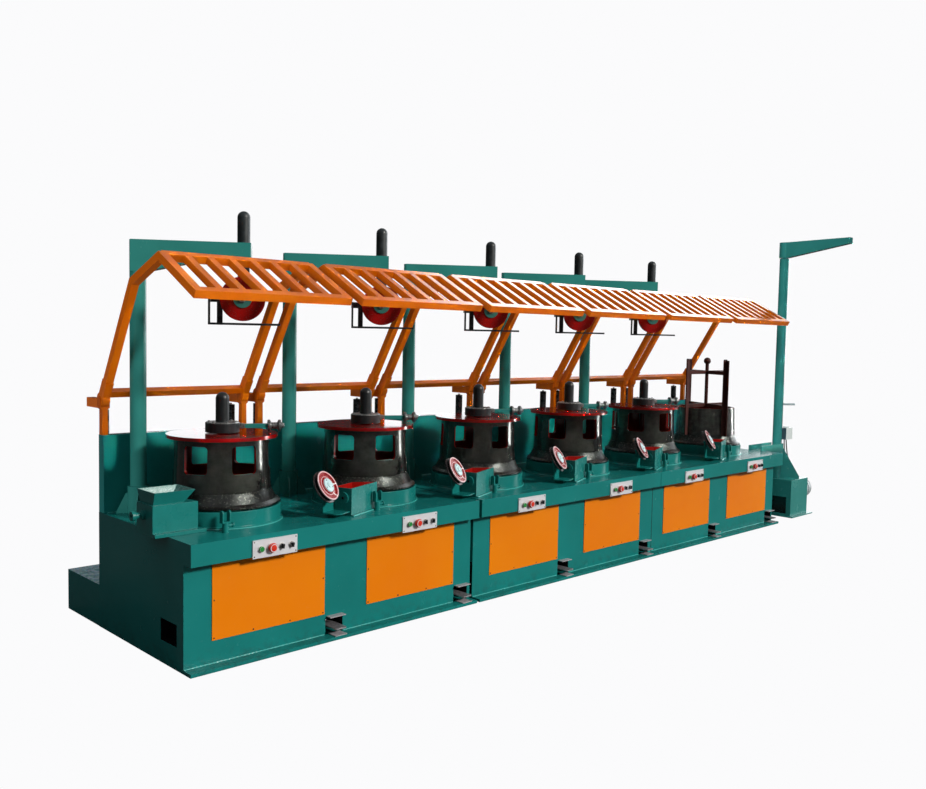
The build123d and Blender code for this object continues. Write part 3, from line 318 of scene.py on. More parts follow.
def turned(profile, centre, axis, sides):
    """A profile of (radius, height) turned about an axis: centre + height * axis + radius * (cos t * a + sin t * b),
    where a and b are square to the axis."""
    axis = np.asarray(axis, float) / np.linalg.norm(axis)
    a = np.cross(axis, (0, 0, 1.0)) if abs(axis[2]) < 0.9 else np.cross(axis, (0, 1.0, 0))
    a /= np.linalg.norm(a)
    b = np.cross(axis, a)
    r, h = np.asarray(profile, float).T
    t = np.linspace(0, 2 * np.pi, sides, endpoint=False)
    ring = np.cos(t)[:, None] * a + np.sin(t)[:, None] * b
    return np.asarray(centre, float) + h[:, None, None] * axis + r[:, None, None] * ring[None]


def pan_head(centre, axis, radius):
    """Low domed screw head: its height falls from 0.55 of its radius with the square of the way out."""
    out = np.linspace(1, 0, 4)
    dome = np.stack([radius * out, radius * (0.2 + 0.35 * (1 - out ** 2))], axis=-1)
    return turned([(0, -radius * 0.1), (radius, -radius * 0.1), *dome.tolist()], centre, axis, 8)


panel_orange = enamel("alkyd_enamel_orange_panel", "#E88104", rough=0.4, cloud=0.8, gloss=0.12)
dress(["front_panels"], panel_orange)
screw_black, tree, inputs, place = surface("blackened_steel_screw", Metallic=1.0, Roughness=0.42)
oxide = add(tree, "TexNoise", {"Vector": place, "Scale": 1 / 0.002, "Detail": 3.0})
tree.links.new(add(tree, "Mix", {0: oxide, 6: "#3A3C3D", 7: "#15171A"}, out=2, data_type="RGBA"),
               inputs["Base Color"])
heads = []
for bay in range(6):
    x0 = LEFT + BAY * bay + PANEL_IN[bay % 2]
    along = x0 + PANEL_LONG * np.array(SCREW_ALONG)
    spots = [(x, z) for x in along for z in (PANEL_BOTTOM + SCREW_IN, PANEL_TOP - SCREW_IN)]
    spots += [(x, (PANEL_BOTTOM + PANEL_TOP) / 2) for x in (along[0], along[-1])]
    heads += [pan_head((x, PANEL_FACE, z), (0, -1, 0), SCREW_R) for x, z in spots]
skins("panel_screws", heads, screw_black)


# Control plates: anodised aluminium plates on the apron, each with a green push button, a red stop mushroom and two
# black rotary switches in white plastic bezels, and four small screws in its corners.
PLATE_LONG, PLATE_HIGH = 0.285, 0.1
PLATE_FACE = -0.578
PLATE_BOTTOM = TABLE_Z - 0.128
PLATE_OFF = 0.03
KNOB_AT = (0.050, 0.115, 0.182, 0.245)
KNOB_R = (0.015, 0.022, 0.014, 0.014)
CORNER_IN = 0.01


def plastic(name, colour, rough):
    """Injection-moulded ABS: an even colour with a soft sheen and a fine spark-eroded grain of 1 mm."""
    material, tree, inputs, place = surface(name, IOR=1.53, Roughness=rough)
    grain = add(tree, "TexNoise", {"Vector": place, "Scale": 1 / 0.001, "Detail": 2.0})
    tree.links.new(add(tree, "Bump", {"Strength": 0.15, "Distance": 0.0001, "Height": grain}), inputs["Normal"])
    wear = add(tree, "TexNoise", {"Vector": place, "Scale": 1 / 0.006, "Detail": 3.0})
    dark = tuple(0.72 * c for c in linear(colour)[:3]) + (1.0,)
    tree.links.new(add(tree, "Mix", {0: add(tree, "MapRange", wear, 0.4, 0.75, 0.0, 0.6), 6: colour, 7: dark},
                       out=2, data_type="RGBA"), inputs["Base Color"])
    return material


def rounded_bar(centre, half_x, half_z, y0, y1):
    """Switch grip: a rounded rectangle, where (x / half_x) ** 6 + (z / half_z) ** 6 = 1, drawn out from y0 to y1 with
    a slightly smaller end."""
    power, sides = 6.0, 20
    t = np.linspace(0, 2 * np.pi, sides, endpoint=False)
    x = np.sign(np.cos(t)) * np.abs(np.cos(t)) ** (2 / power) * half_x
    z = np.sign(np.sin(t)) * np.abs(np.sin(t)) ** (2 / power) * half_z
    levels = [(y0, 0.0), (y0, 1.0), (y1 + 0.001, 0.97), (y1, 0.9), (y1, 0.0)]
    return np.stack([np.stack([centre[0] + s * x, np.full(sides, y), centre[1] + s * z], axis=-1) for y, s in levels])


def plate_metal():
    """Anodised aluminium, brushed along X before anodising: fine lines 0.6 mm apart, drawn 1.5 mm here to show, and
    a cool pale sheen."""
    material, tree, inputs, place = surface("anodised_aluminium_brushed", Metallic=0.3)
    lines = add(tree, "Mapping", {"Vector": place, "Scale": (1 / 0.12, 1 / 0.12, 1 / 0.0015)})
    lines = add(tree, "TexNoise", {"Vector": lines, "Scale": 1.0, "Detail": 2.0})
    tree.links.new(add(tree, "Mix", {0: lines, 6: "#D2D3DA", 7: "#ECECF1"}, out=2, data_type="RGBA"),
                   inputs["Base Color"])
    tree.links.new(add(tree, "MapRange", lines, 0.3, 0.7, 0.34, 0.5), inputs["Roughness"])
    return material


eased("control_plates", 0.001, plate_metal())
bezels, greens, reds, blacks, corners = [], [], [], [], []
ahead = (0, -1, 0)
for bay in range(6):
    x0 = LEFT + BAY * (bay + 0.5) - PLATE_OFF - PLATE_LONG / 2
    at = [(x0 + along, PLATE_FACE, PLATE_BOTTOM + PLATE_HIGH / 2) for along in KNOB_AT]
    for centre, r in zip(at, KNOB_R):
        bezels.append(turned([(r, 0.0), (r + 0.0044, 0.0), (r + 0.0044, 0.003), (r + 0.003, 0.0046), (r, 0.0046)],
                             centre, ahead, 20))
    greens.append(turned([(0.0153, 0.002), (0.0153, 0.0145), (0.0143, 0.0163), (0, 0.0168)], at[0], ahead, 20))
    reds.append(turned([(0.0223, 0.002), (0.0223, 0.017), (0.0262, 0.0185), (0.0268, 0.0225), (0.0235, 0.0285),
                        (0.0135, 0.0312), (0, 0.0318)], at[1], ahead, 24))
    for centre in at[2:]:
        blacks.append(turned([(0.0143, 0.002), (0.0143, 0.0135), (0.0133, 0.0143), (0, 0.0143)], centre, ahead, 20))
        blacks.append(rounded_bar((centre[0], centre[2]), 0.0047, 0.0146, PLATE_FACE - 0.013, PLATE_FACE - 0.0243))
    corners += [pan_head((x, PLATE_FACE, z), ahead, 0.004) for x in (x0 + CORNER_IN, x0 + PLATE_LONG - CORNER_IN)
                for z in (PLATE_BOTTOM + CORNER_IN, PLATE_BOTTOM + PLATE_HIGH - CORNER_IN)]
skins("switch_bezels", bezels, plastic("abs_white_bezel", "#D9D6D2", 0.35))
skins("start_buttons", greens, plastic("abs_green_button", "#1E8A3C", 0.3))
skins("stop_mushrooms", reds, plastic("abs_red_mushroom", "#D5301C", 0.3))
skins("rotary_switches", blacks, plastic("abs_black_grip", "#17181C", 0.35))
skins("plate_screws", corners, screw_black)


# Foot pedals: sheared steel plates on a tube that turns on the pocket's pin. They are left bare, oiled, and scuffed
# by boots.
def bare_plate(name, bright, dull, rough):
    """Cold-rolled steel sheet, oiled and scuffed: 30 mm patches of duller metal and 2 mm scratches."""
    material, tree, inputs, place = surface(name, Metallic=0.8)
    patch = add(tree, "TexNoise", {"Vector": place, "Scale": 1 / 0.03, "Detail": 6.0, "Roughness": 0.6})
    tree.links.new(add(tree, "Mix", {0: add(tree, "MapRange", patch, 0.38, 0.66), 6: bright, 7: dull},
                       out=2, data_type="RGBA"), inputs["Base Color"])
    tree.links.new(add(tree, "MapRange", patch, 0.3, 0.7, rough - 0.08, rough + 0.14), inputs["Roughness"])
    scratch = add(tree, "TexNoise", {"Vector": add(tree, "Mapping", {"Vector": place, "Scale": (60.0, 500.0, 500.0)}),
                                     "Scale": 1.0, "Detail": 2.0})
    tree.links.new(add(tree, "Bump", {"Strength": 0.3, "Distance": 0.0002, "Height": scratch}), inputs["Normal"])
    return material


pedal_steel = bare_plate("cold_rolled_steel_pedal", "#C4C2C8", "#8A888E", 0.42)
for k in range(1, 7):
    eased(f"pedal_{k}", 0.001, pedal_steel, f"pedal_{k}")


# Block seats: rings on the table that carry the blocks, in a slightly duller green enamel than the cabinets, with a
# bead of weld round their foot.
SEAT_R = 0.343
SEAT_FOOT = 0.008
BLOCK_Y = -0.035
BLOCK_IN_BAY = 0.48
BOX_GREEN = "#187B77"
block_x = [LEFT + BAY * k + BLOCK_IN_BAY for k in range(6)]
seat_green = enamel("alkyd_enamel_green_casting", BOX_GREEN, rough=0.2, cloud=0.2)
eased("block_seats", 0.003, seat_green)
t = np.linspace(0, 2 * np.pi, 180, endpoint=False)
bead_r = SEAT_R + SEAT_FOOT
rings = [tube_along(np.stack([x + bead_r * np.cos(t), BLOCK_Y + bead_r * np.sin(t), np.full_like(t, TABLE_Z + 0.002)],
                             axis=-1), 0.0035, 0.15, True) for x in block_x]
skins("seat_foot_welds", rings, weld_paint_highlight)


# Drawing blocks: chilled cast iron shells, turned and polished by the wire, on a hub. The flared foot, where the wire
# lies, is scratched and bright with dark drawing soap in it. The rimmed flange on top and the inside are painted red.
SHELL_TAPER = 0.0315
SHELL_R_AT_FLOOR = 0.3062
RIM_Z = 0.86
FLARE_Z = 0.878, 0.90
FLANGE_Z = 1.1815
PLAIN_TOP_Z = 1.1485
RED = "#A60E0B"


def polar(tree, place, centre, rotation=(0, 0, 0)):
    """Radius about a piece's own axis, and the place in the piece's own directions: the Mapping node takes its centre
    and turn away."""
    local = add(tree, "Mapping", {"Vector": place, "Location": centre, "Rotation": rotation}, vector_type="TEXTURE")
    parts = add(tree, "SeparateXYZ", local).node.outputs
    flat = add(tree, "CombineXYZ", parts[0], parts[1], 0.0)
    return add(tree, "VectorMath", flat, out="Value", operation="LENGTH"), parts


def block_finish(name, centre, flange_z, bright="#4E504C", dull="#3D3E3B"):
    """Polished chilled iron with red enamel where paint lies. Iron: rings of turning marks 4 mm apart, 50 mm smears of
    oil, and on the flared foot 15 mm mottling of soap. Paint: the flange above flange_z and everything nearer the axis
    than the tapering shell's outside, painted darker the deeper it lies as painted shade inside the block."""
    material, tree, inputs, place = surface(name)
    radius, (x, y, z) = polar(tree, place, centre)
    shell = add(tree, "Math", add(tree, "Math", z, -SHELL_TAPER, operation="MULTIPLY"), SHELL_R_AT_FLOOR,
                operation="ADD")
    flange = where(tree, (z, ">", flange_z))
    red = add(tree, "Math", where(tree, (radius, "<", shell), (z, ">", RIM_Z)), flange, operation="MAXIMUM")
    # Painted shade: the red turns dark brown deeper inside the shell.
    depth_shade = add(tree, "Math", shell, radius, operation="SUBTRACT")
    depth_shade = add(tree, "MapRange", depth_shade, 0.004, 0.02, 0.0, 1.0)
    depth_shade = add(tree, "Math", depth_shade, add(tree, "Math", 1.0, flange, operation="SUBTRACT"), operation="MULTIPLY")
    paint = add(tree, "Mix", {0: depth_shade, 6: RED, 7: "#52130F"}, out=2, data_type="RGBA")
    turn = add(tree, "Math", y, x, operation="ARCTAN2")
    round_it = add(tree, "CombineXYZ", turn, add(tree, "Math", z, 1 / 0.004, operation="MULTIPLY"), radius)
    marks = add(tree, "TexNoise", {"Vector": round_it, "Scale": 1.0, "Detail": 2.0})
    oil = add(tree, "TexNoise", {"Vector": place, "Scale": 1 / 0.05, "Detail": 5.0, "Roughness": 0.6})
    soap = add(tree, "TexNoise", {"Vector": place, "Scale": 1 / 0.015, "Detail": 6.0, "Roughness": 0.75})
    foot = add(tree, "MapRange", z, *FLARE_Z, 1.0, 0.0)
    worn = add(tree, "Mix", {0: add(tree, "MapRange", soap, 0.54, 0.62), 6: "#2C302F", 7: "#6A6C66"},
               out=2, data_type="RGBA")
    clean = add(tree, "Mix", {0: add(tree, "MapRange", oil, 0.35, 0.7), 6: bright, 7: dull},
                out=2, data_type="RGBA")
    metal = add(tree, "Mix", {0: foot, 6: clean, 7: worn}, out=2, data_type="RGBA")
    tree.links.new(add(tree, "Mix", {0: red, 6: metal, 7: paint}, out=2, data_type="RGBA"), inputs["Base Color"])
    bare = add(tree, "Math", 1.0, red, operation="SUBTRACT")
    tree.links.new(add(tree, "Math", bare, 0.62, operation="MULTIPLY"), inputs["Metallic"])
    gloss = add(tree, "MapRange", add(tree, "Math", marks, oil, operation="ADD"), 0.7, 1.3, 0.09, 0.2)
    gloss = add(tree, "Math", gloss, add(tree, "Math", foot, 0.2, operation="MULTIPLY"), operation="ADD")
    gloss = add(tree, "Mix", {0: red, 2: gloss, 3: 0.12})
    tree.links.new(gloss, inputs["Roughness"])
    height = add(tree, "Math", add(tree, "Math", soap, foot, operation="MULTIPLY"), marks, operation="ADD")
    height = add(tree, "Math", height, bare, operation="MULTIPLY")
    tree.links.new(add(tree, "Bump", {"Strength": 0.2, "Distance": 0.0003, "Height": height}), inputs["Normal"])
    return material


for k in range(1, 6):
    finish = block_finish(f"chilled_iron_and_red_enamel_{k}", (block_x[k - 1], BLOCK_Y, 0), FLANGE_Z)
    eased(f"block_{k}", 0.0025, finish, f"block_{k}")
finish = block_finish("chilled_iron_plain_block", (block_x[5], BLOCK_Y, 0), PLAIN_TOP_Z, "#7C7E7A", "#5A5C59")
eased("block_6", 0.0025, finish, "block_6")


# Flyers: a black oiled hub with a machined steel lid, a moulded rubber cover over its shaft, and a green arm that
# carries a hardened steel wire roller, held by a bolt in its end.
HUB_R = 0.098
DOME_FOOT_R = 0.0405
HUB_TOP, ARM_Z = 1.269, 1.243
LID_T = 0.0055
KNUCKLE_OUT, ROLLER_OUT, BOLT_OUT = 0.128, 0.2612, 0.347
LID_BOLTS_R = 0.078
FLYER_TURN = math.radians(-27)


def flyer_finish(name, centre):
    """Three finishes told by place: machined steel on the lid, at the arm's root and beyond its end, green enamel
    along the arm, and greasy black on the hub's side and the rubber cover."""
    material, tree, inputs, place = surface(name)
    radius, (u, _, z) = polar(tree, place, centre, (0, 0, FLYER_TURN))
    beyond_hub = (radius, ">", HUB_R + 0.0005)
    steel = where(tree, (u, ">", ROLLER_OUT))
    for tests in (((u, "<", KNUCKLE_OUT), beyond_hub), ((z, ">", HUB_TOP - LID_T), (radius, ">", DOME_FOOT_R))):
        steel = add(tree, "Math", steel, where(tree, *tests), operation="MAXIMUM")
    arm = where(tree, beyond_hub)
    streak = add(tree, "TexNoise", {"Vector": add(tree, "Mapping", {"Vector": place, "Scale": (90, 90, 14)}),
                                    "Scale": 1.0, "Detail": 4.0})
    grease = add(tree, "Mix", {0: streak, 6: "#0E1214", 7: "#23282B"}, out=2, data_type="RGBA")
    colour = add(tree, "Mix", {0: arm, 6: grease, 7: BOX_GREEN}, out=2, data_type="RGBA")
    scuff = add(tree, "TexNoise", {"Vector": place, "Scale": 1 / 0.01, "Detail": 5.0, "Roughness": 0.7})
    bright = add(tree, "Mix", {0: add(tree, "MapRange", scuff, 0.4, 0.65), 6: "#A9ACAC", 7: "#4A4C4C"},
                 out=2, data_type="RGBA")
    tree.links.new(add(tree, "Mix", {0: steel, 6: colour, 7: bright}, out=2, data_type="RGBA"), inputs["Base Color"])
    tree.links.new(add(tree, "Math", steel, 0.9, operation="MULTIPLY"), inputs["Metallic"])
    tree.links.new(add(tree, "MapRange", scuff, 0.3, 0.7, 0.28, 0.46), inputs["Roughness"])
    tree.links.new(add(tree, "Bump", {"Strength": 0.3, "Distance": 0.0004, "Height": scuff}), inputs["Normal"])
    return material


socket_steel = bare_plate("hardened_steel_bolt", "#B4B6B6", "#4B4D4F", 0.3)
for k in range(1, 6):
    centre = np.array([block_x[k - 1], BLOCK_Y, 0])
    finish = flyer_finish(f"flyer_steel_rubber_and_enamel_{k}", centre.tolist())
    eased(f"flyer_{k}", 0.0012, finish, f"flyer_{k}")
    out = np.array([math.cos(FLYER_TURN), math.sin(FLYER_TURN), 0])
    tip = centre + BOLT_OUT * out + (0, 0, ARM_Z)
    bolts = [turned([(0, -0.001), (0.015, -0.001), (0.015, 0.007), (0.0125, 0.009), (0.0075, 0.009), (0.0075, 0.003),
                     (0, 0.003)], tip, out, 18)]
    for spin in range(6):
        way = math.radians(60 * spin + 20)
        spot = centre + (LID_BOLTS_R * math.cos(way), LID_BOLTS_R * math.sin(way), HUB_TOP)
        bolts.append(turned([(0, -0.001), (0.008, -0.001), (0.008, 0.006), (0, 0.0066)], spot, (0, 0, 1), 6))
    skins(f"flyer_{k}_bolts", bolts, socket_steel, f"flyer_{k}", 25)


# Coil lifting frame: claws, cross bars and a rod of hot-rolled steel, which lift the finished coil off the last
# block. They are brushed with brown primer.
primer_brown = enamel("red_oxide_primer_brown", "#4A2521", rough=0.42, cloud=0.1)
dress(["coil_frame"], primer_brown)


# Die boxes and the inlet box: folded and welded boxes with the die and its soap inside. Outside green enamel, inside
# red. The inlet box has a hopper dusted white with drawing soap.
DIE_TURN = math.radians(22)
DIE_X, DIE_Y = LEFT + 1.094, -0.478
DIE_REACH = 0.2
DIE_WIDE = 0.13
DIE_WALL = 0.004
DIE_FLOOR_Z = TABLE_Z + 0.05
CUT_SLOPE, CUT_END = 0.677, 0.305
BOSS_IN, BOSS_UP = 0.055, 0.108
HOPPER_X, HOPPER_Y = -3.156, -0.202
HOPPER_Z = 0.869, 0.938
HOPPER_HALF = 0.085, 0.072
HOPPER_FLARE = 0.0295


def die_box_finish():
    """Green enamel outside and red enamel inside. Boxes repeat each bay, so X is taken modulo the bay, and a point is
    inside if it is 4 mm within all four walls and above the floor."""
    material, tree, inputs, place = surface("alkyd_enamel_green_and_red_box", IOR=1.5, Specular_IOR_Level=0.3)
    parts = add(tree, "SeparateXYZ", place).node.outputs
    x = add(tree, "Math", add(tree, "Math", parts[0], DIE_X - DIE_REACH, operation="SUBTRACT"), BAY,
            operation="FLOORED_MODULO")
    one = add(tree, "CombineXYZ", add(tree, "Math", x, DIE_REACH, operation="SUBTRACT"),
              add(tree, "Math", parts[1], DIE_Y, operation="SUBTRACT"), parts[2])
    local = add(tree, "Mapping", {"Vector": one, "Rotation": (0, 0, DIE_TURN)}, vector_type="TEXTURE")
    u, v, z = add(tree, "SeparateXYZ", local).node.outputs
    slant = add(tree, "Math", u, add(tree, "Math", v, CUT_SLOPE, operation="MULTIPLY"), operation="ADD")
    inside = where(tree, (z, ">", DIE_FLOOR_Z), (u, ">", DIE_WALL), (v, ">", DIE_WALL), (v, "<", DIE_WIDE - DIE_WALL),
                   (slant, "<", CUT_END))
    soap = add(tree, "TexNoise", {"Vector": place, "Scale": 1 / 0.018, "Detail": 6.0, "Roughness": 0.7})
    outside = add(tree, "Mix", {0: add(tree, "MapRange", soap, 0.5, 0.72, 0.0, 0.4), 6: BOX_GREEN,
                                7: "#5FA79C"}, out=2, data_type="RGBA")
    colour = add(tree, "Mix", {0: inside, 6: outside, 7: "#9C130E"}, out=2, data_type="RGBA")
    paint_coat(tree, inputs, place, colour, 0.22, 0.1)
    return material


def inlet_finish():
    """Green enamel, dusted white inside the hopper: a point is inside where it is 3 mm within the walls, which flare
    with height, more to the right than to the left."""
    material, tree, inputs, place = surface("alkyd_enamel_green_inlet_box", IOR=1.5, Specular_IOR_Level=0.3)
    x, y, z = add(tree, "SeparateXYZ", place).node.outputs
    flare = add(tree, "MapRange", z, *HOPPER_Z, 0.0, HOPPER_FLARE)
    shift = add(tree, "Math", flare, 0.83, operation="MULTIPLY")
    dx = add(tree, "Math", add(tree, "Math", x, -HOPPER_X, operation="ADD"), shift, operation="SUBTRACT")
    dy = add(tree, "Math", y, -HOPPER_Y, operation="ADD")
    within = [(add(tree, "Math", off, operation="ABSOLUTE"), "<", add(tree, "Math", flare, half, operation="ADD"))
              for off, half in zip((dx, dy), HOPPER_HALF)]
    inside = where(tree, (z, ">", TABLE_Z + 0.1), *within)
    grains = add(tree, "TexNoise", {"Vector": place, "Scale": 1 / 0.006, "Detail": 4.0, "Roughness": 0.8})
    powder = add(tree, "Mix", {0: add(tree, "MapRange", grains, 0.42, 0.6), 6: "#2A7A70", 7: "#8DB5B4"},
                 out=2, data_type="RGBA")
    colour = add(tree, "Mix", {0: inside, 6: BOX_GREEN, 7: powder}, out=2, data_type="RGBA")
    paint_coat(tree, inputs, place, colour, 0.3, 0.1)
    return material


eased("die_boxes", 0.0015, die_box_finish())
eased("inlet_die_box", 0.002, inlet_finish())
box_green = enamel("alkyd_enamel_green_small_work", BOX_GREEN, rough=0.2, cloud=0.1)
eased("wheel_brackets", 0.001, box_green)
eased("wire_stops", 0.0015, box_green)
c, s = math.cos(DIE_TURN), math.sin(DIE_TURN)
run, at = np.arange(0.002, 0.308, 0.006), -0.0135
foot_welds = [tube_along(np.stack([DIE_X + BAY * k + run * c - at * s, DIE_Y + run * s + at * c,
                                   np.full_like(run, TABLE_Z + 0.0025)], axis=-1), 0.004, 0.25) for k in range(5)]
skins("die_box_foot_welds", foot_welds, weld_paint_highlight)
case = [(0, -0.012), (0.0086, -0.012), (0.0086, 0.0105), (0.0078, 0.0114), (0.0062, 0.0114), (0.002, 0.001), (0, 0.001)]
dies = [turned(case, (DIE_X + BAY * k - BOSS_IN * s, DIE_Y + BOSS_IN * c, TABLE_Z + BOSS_UP), (-c, -s, 0), 20)
        for k in range(5)]
skins("wire_dies", dies, screw_black, angle=25)


# Guide wheels: grooved cast wheels leaning on their axles. The rim is black, the face is ringed in red and white
# plastic round a pale hub plate held by three small bolts.
WHEEL_LEAN = math.radians(60)
WHEEL_TURN = math.radians(24)
WHEEL_AT = (LEFT + 0.9310322, -0.4456966, 0.894)
FACE_DEPTH = 0.0112
CRIMSON, BLUSH = "#8E0C14", "#DDB8BC"
RINGS = ((0.0435, CRIMSON), (0.0555, BLUSH), (0.0595, CRIMSON), (0.0850, BLUSH))
BARS_FROM, BAR_HALF = 0.05, 0.004
HUB_BOLTS_R, HUB_FACE = 0.032, 0.0235
HUB_COVER = [(0, 0.0200), (0.0425, 0.0200), (0.0425, 0.0225), (0.0405, 0.0237), (0.0175, 0.0242), (0.0165, 0.0288),
             (0.0135, 0.0302), (0, 0.0305)]


def wheel_finish(name, centre):
    """Rings by radius on the front face, from inside: pale blue hub, red, a thin pink-white line, broad red with two
    white bars across it, and a pink-white lip. Behind the face is bare cast iron, black with oil. A bar is where the
    radius times the sine of the turn away from it is small, on the side where the cosine is positive."""
    material, tree, inputs, place = surface(name)
    radius, (x, y, z) = polar(tree, place, centre, (WHEEL_LEAN, 0, WHEEL_TURN))
    colour = "#BFE3E8"
    for edge, code in RINGS:
        beyond = where(tree, (radius, ">", edge))
        colour = add(tree, "Mix", {0: beyond, 6: colour, 7: code}, out=2, data_type="RGBA")
    turn = add(tree, "Math", y, x, operation="ARCTAN2")
    bars = 0.0
    for way in (0.0, -62.0):
        off = add(tree, "Math", turn, math.radians(way), operation="SUBTRACT")
        across = add(tree, "Math", add(tree, "Math", off, operation="SINE"), radius, operation="MULTIPLY")
        bar = where(tree, (add(tree, "Math", across, operation="ABSOLUTE"), "<", BAR_HALF),
                    (add(tree, "Math", off, operation="COSINE"), ">", 0.0))
        bars = add(tree, "Math", bars, bar, operation="MAXIMUM")
    bars = add(tree, "Math", bars, where(tree, (radius, ">", BARS_FROM)), operation="MULTIPLY")
    colour = add(tree, "Mix", {0: bars, 6: colour, 7: "#F1E6E6"}, out=2, data_type="RGBA")
    cast = add(tree, "TexNoise", {"Vector": place, "Scale": 1 / 0.008, "Detail": 4.0})
    rim = add(tree, "Mix", {0: cast, 6: "#0E0F11", 7: "#3A3436"}, out=2, data_type="RGBA")
    face = where(tree, (z, ">", FACE_DEPTH))
    tree.links.new(add(tree, "Mix", {0: face, 6: rim, 7: colour}, out=2, data_type="RGBA"), inputs["Base Color"])
    tree.links.new(add(tree, "MapRange", cast, 0.3, 0.7, 0.2, 0.34), inputs["Roughness"])
    tree.links.new(add(tree, "Bump", {"Strength": 0.2, "Distance": 0.0003, "Height": cast}), inputs["Normal"])
    return material


hub_blue = plastic("abs_pale_blue_hub", "#C4E4E9", 0.3)
lean = Matrix.Rotation(WHEEL_TURN, 3, "Z") @ Matrix.Rotation(WHEEL_LEAN, 3, "X")
out = np.array(lean @ Vector((0, 0, 1)))
for k in range(2, 7):
    centre = np.array(WHEEL_AT) + (BAY * (k - 2), 0, 0)
    finish = wheel_finish(f"cast_wheel_with_ringed_face_{k}", centre.tolist())
    eased(f"guide_wheel_{k}", 0.001, finish, f"guide_wheel_{k}")
    small = []
    for way in np.radians((100, 200, 330)):
        spot = centre + np.array(lean @ Vector((HUB_BOLTS_R * math.cos(way), HUB_BOLTS_R * math.sin(way), HUB_FACE)))
        small.append(pan_head(spot, out, 0.0042))
    skins(f"guide_wheel_{k}_bolts", small, screw_black, f"guide_wheel_{k}", 25)
    skins(f"guide_wheel_{k}_hub_cover", [turned(HUB_COVER, centre, out, 40)], hub_blue,
          f"guide_wheel_{k}")


# Take-off posts: steel tube in a gusseted sleeve, with a welded box jib and a round rubber cover at its end. A hanger
# of flat bar carries the sheave's axle and a bent wire finger.
post_green = enamel("alkyd_enamel_green_tube", "#2C7770", rough=0.17, cloud=0.3)
eased("sheave_posts", 0.003, post_green)


def rubber(name, colour="#1E2528"):
    """Moulded black rubber: matt, with a pale bloom in soft patches 40 mm wide and a fine 1.5 mm grain."""
    material, tree, inputs, place = surface(name, IOR=1.5)
    bloom = add(tree, "TexNoise", {"Vector": place, "Scale": 1 / 0.04, "Detail": 4.0})
    tree.links.new(add(tree, "Mix", {0: add(tree, "MapRange", bloom, 0.4, 0.75, 0.0, 0.5), 6: colour,
                                     7: "#3C464A"}, out=2, data_type="RGBA"), inputs["Base Color"])
    tree.links.new(add(tree, "MapRange", bloom, 0.3, 0.7, 0.36, 0.55), inputs["Roughness"])
    grain = add(tree, "TexNoise", {"Vector": place, "Scale": 1 / 0.0015, "Detail": 2.0})
    tree.links.new(add(tree, "Bump", {"Strength": 0.2, "Distance": 0.0002, "Height": grain}), inputs["Normal"])
    return material


black_rubber = rubber("moulded_black_rubber")
dress(["jib_caps"], black_rubber)
hanger_steel = bare_plate("hot_rolled_flat_bar", "#4F5456", "#26292B", 0.38)
eased("sheave_hangers", 0.0015, hanger_steel)

POST_AT = (LEFT + 0.170, 0.404)
JIB_TURN = math.radians(-35.6)
JIB_OUT = 0.61
SHEAVE_OFF, AXLE_END = 0.054, 0.025
SHEAVE_Z = 1.991
SHEAVE_HUB_R, GROOVE_FOOT_R, GROOVE_HALF = 0.0545, 0.07, 0.0075


def sheave_finish(name, centre):
    """Red enamel on a cast wheel, a green hub disc, and bright steel where the wire has run in the groove."""
    material, tree, inputs, place = surface(name)
    radius, (_, _, z) = polar(tree, place, centre, (math.radians(90), 0, JIB_TURN))
    hub = where(tree, (radius, "<", SHEAVE_HUB_R))
    groove = where(tree, (add(tree, "Math", z, operation="ABSOLUTE"), "<", GROOVE_HALF), (radius, ">", GROOVE_FOOT_R))
    colour = add(tree, "Mix", {0: hub, 6: RED, 7: "#3C7C73"}, out=2, data_type="RGBA")
    wear = add(tree, "TexNoise", {"Vector": place, "Scale": 1 / 0.012, "Detail": 4.0})
    colour = add(tree, "Mix", {0: groove, 6: colour, 7: "#77716C"}, out=2, data_type="RGBA")
    shade = add(tree, "MapRange", wear, 0.45, 0.75, 0.0, 0.35)
    tree.links.new(add(tree, "Mix", {0: shade, 6: colour, 7: "#2A0F0E"}, out=2, data_type="RGBA"),
                   inputs["Base Color"])
    tree.links.new(groove, inputs["Metallic"])
    tree.links.new(add(tree, "MapRange", wear, 0.3, 0.7, 0.16, 0.3), inputs["Roughness"])
    return material


c, s = math.cos(JIB_TURN), math.sin(JIB_TURN)
axle_way = np.array([s, -c, 0])
nut = [(0, -0.001), (0.024, -0.001), (0.024, 0.007225), (0.02064, 0.0085), (0, 0.0085)]
for k in range(5):
    cap = np.array([POST_AT[0] + BAY * k + JIB_OUT * c, POST_AT[1] + JIB_OUT * s, 0])
    centre = cap + SHEAVE_OFF * axle_way + (0, 0, SHEAVE_Z)
    finish = sheave_finish(f"red_enamel_sheave_{k + 1}", centre.tolist())
    eased(f"sheave_{k + 1}", 0.0015, finish, f"sheave_{k + 1}")
    skins(f"sheave_{k + 1}_nut", [turned(nut, centre + AXLE_END * axle_way, axle_way, 6)], socket_steel,
          angle=20)


# Guards: welded square tube with a grille of square bars, sprayed glossy orange, hinged on tapered posts on the rear
# wall. A black gas damper with a chromed rod stands behind each post.
guard_orange = enamel("alkyd_enamel_orange_tube", "#D06A08", rough=0.13, cloud=0.25, gloss=0.5)
for k in range(1, 7):
    eased(f"guard_{k}", 0.003, guard_orange, f"guard_{k}")
post_orange = enamel("alkyd_enamel_orange_posts", "#B95C08", rough=0.16, cloud=0.3)
eased("guard_supports", 0.002, post_orange)
DAMPER_ROD_Z = 1.3105


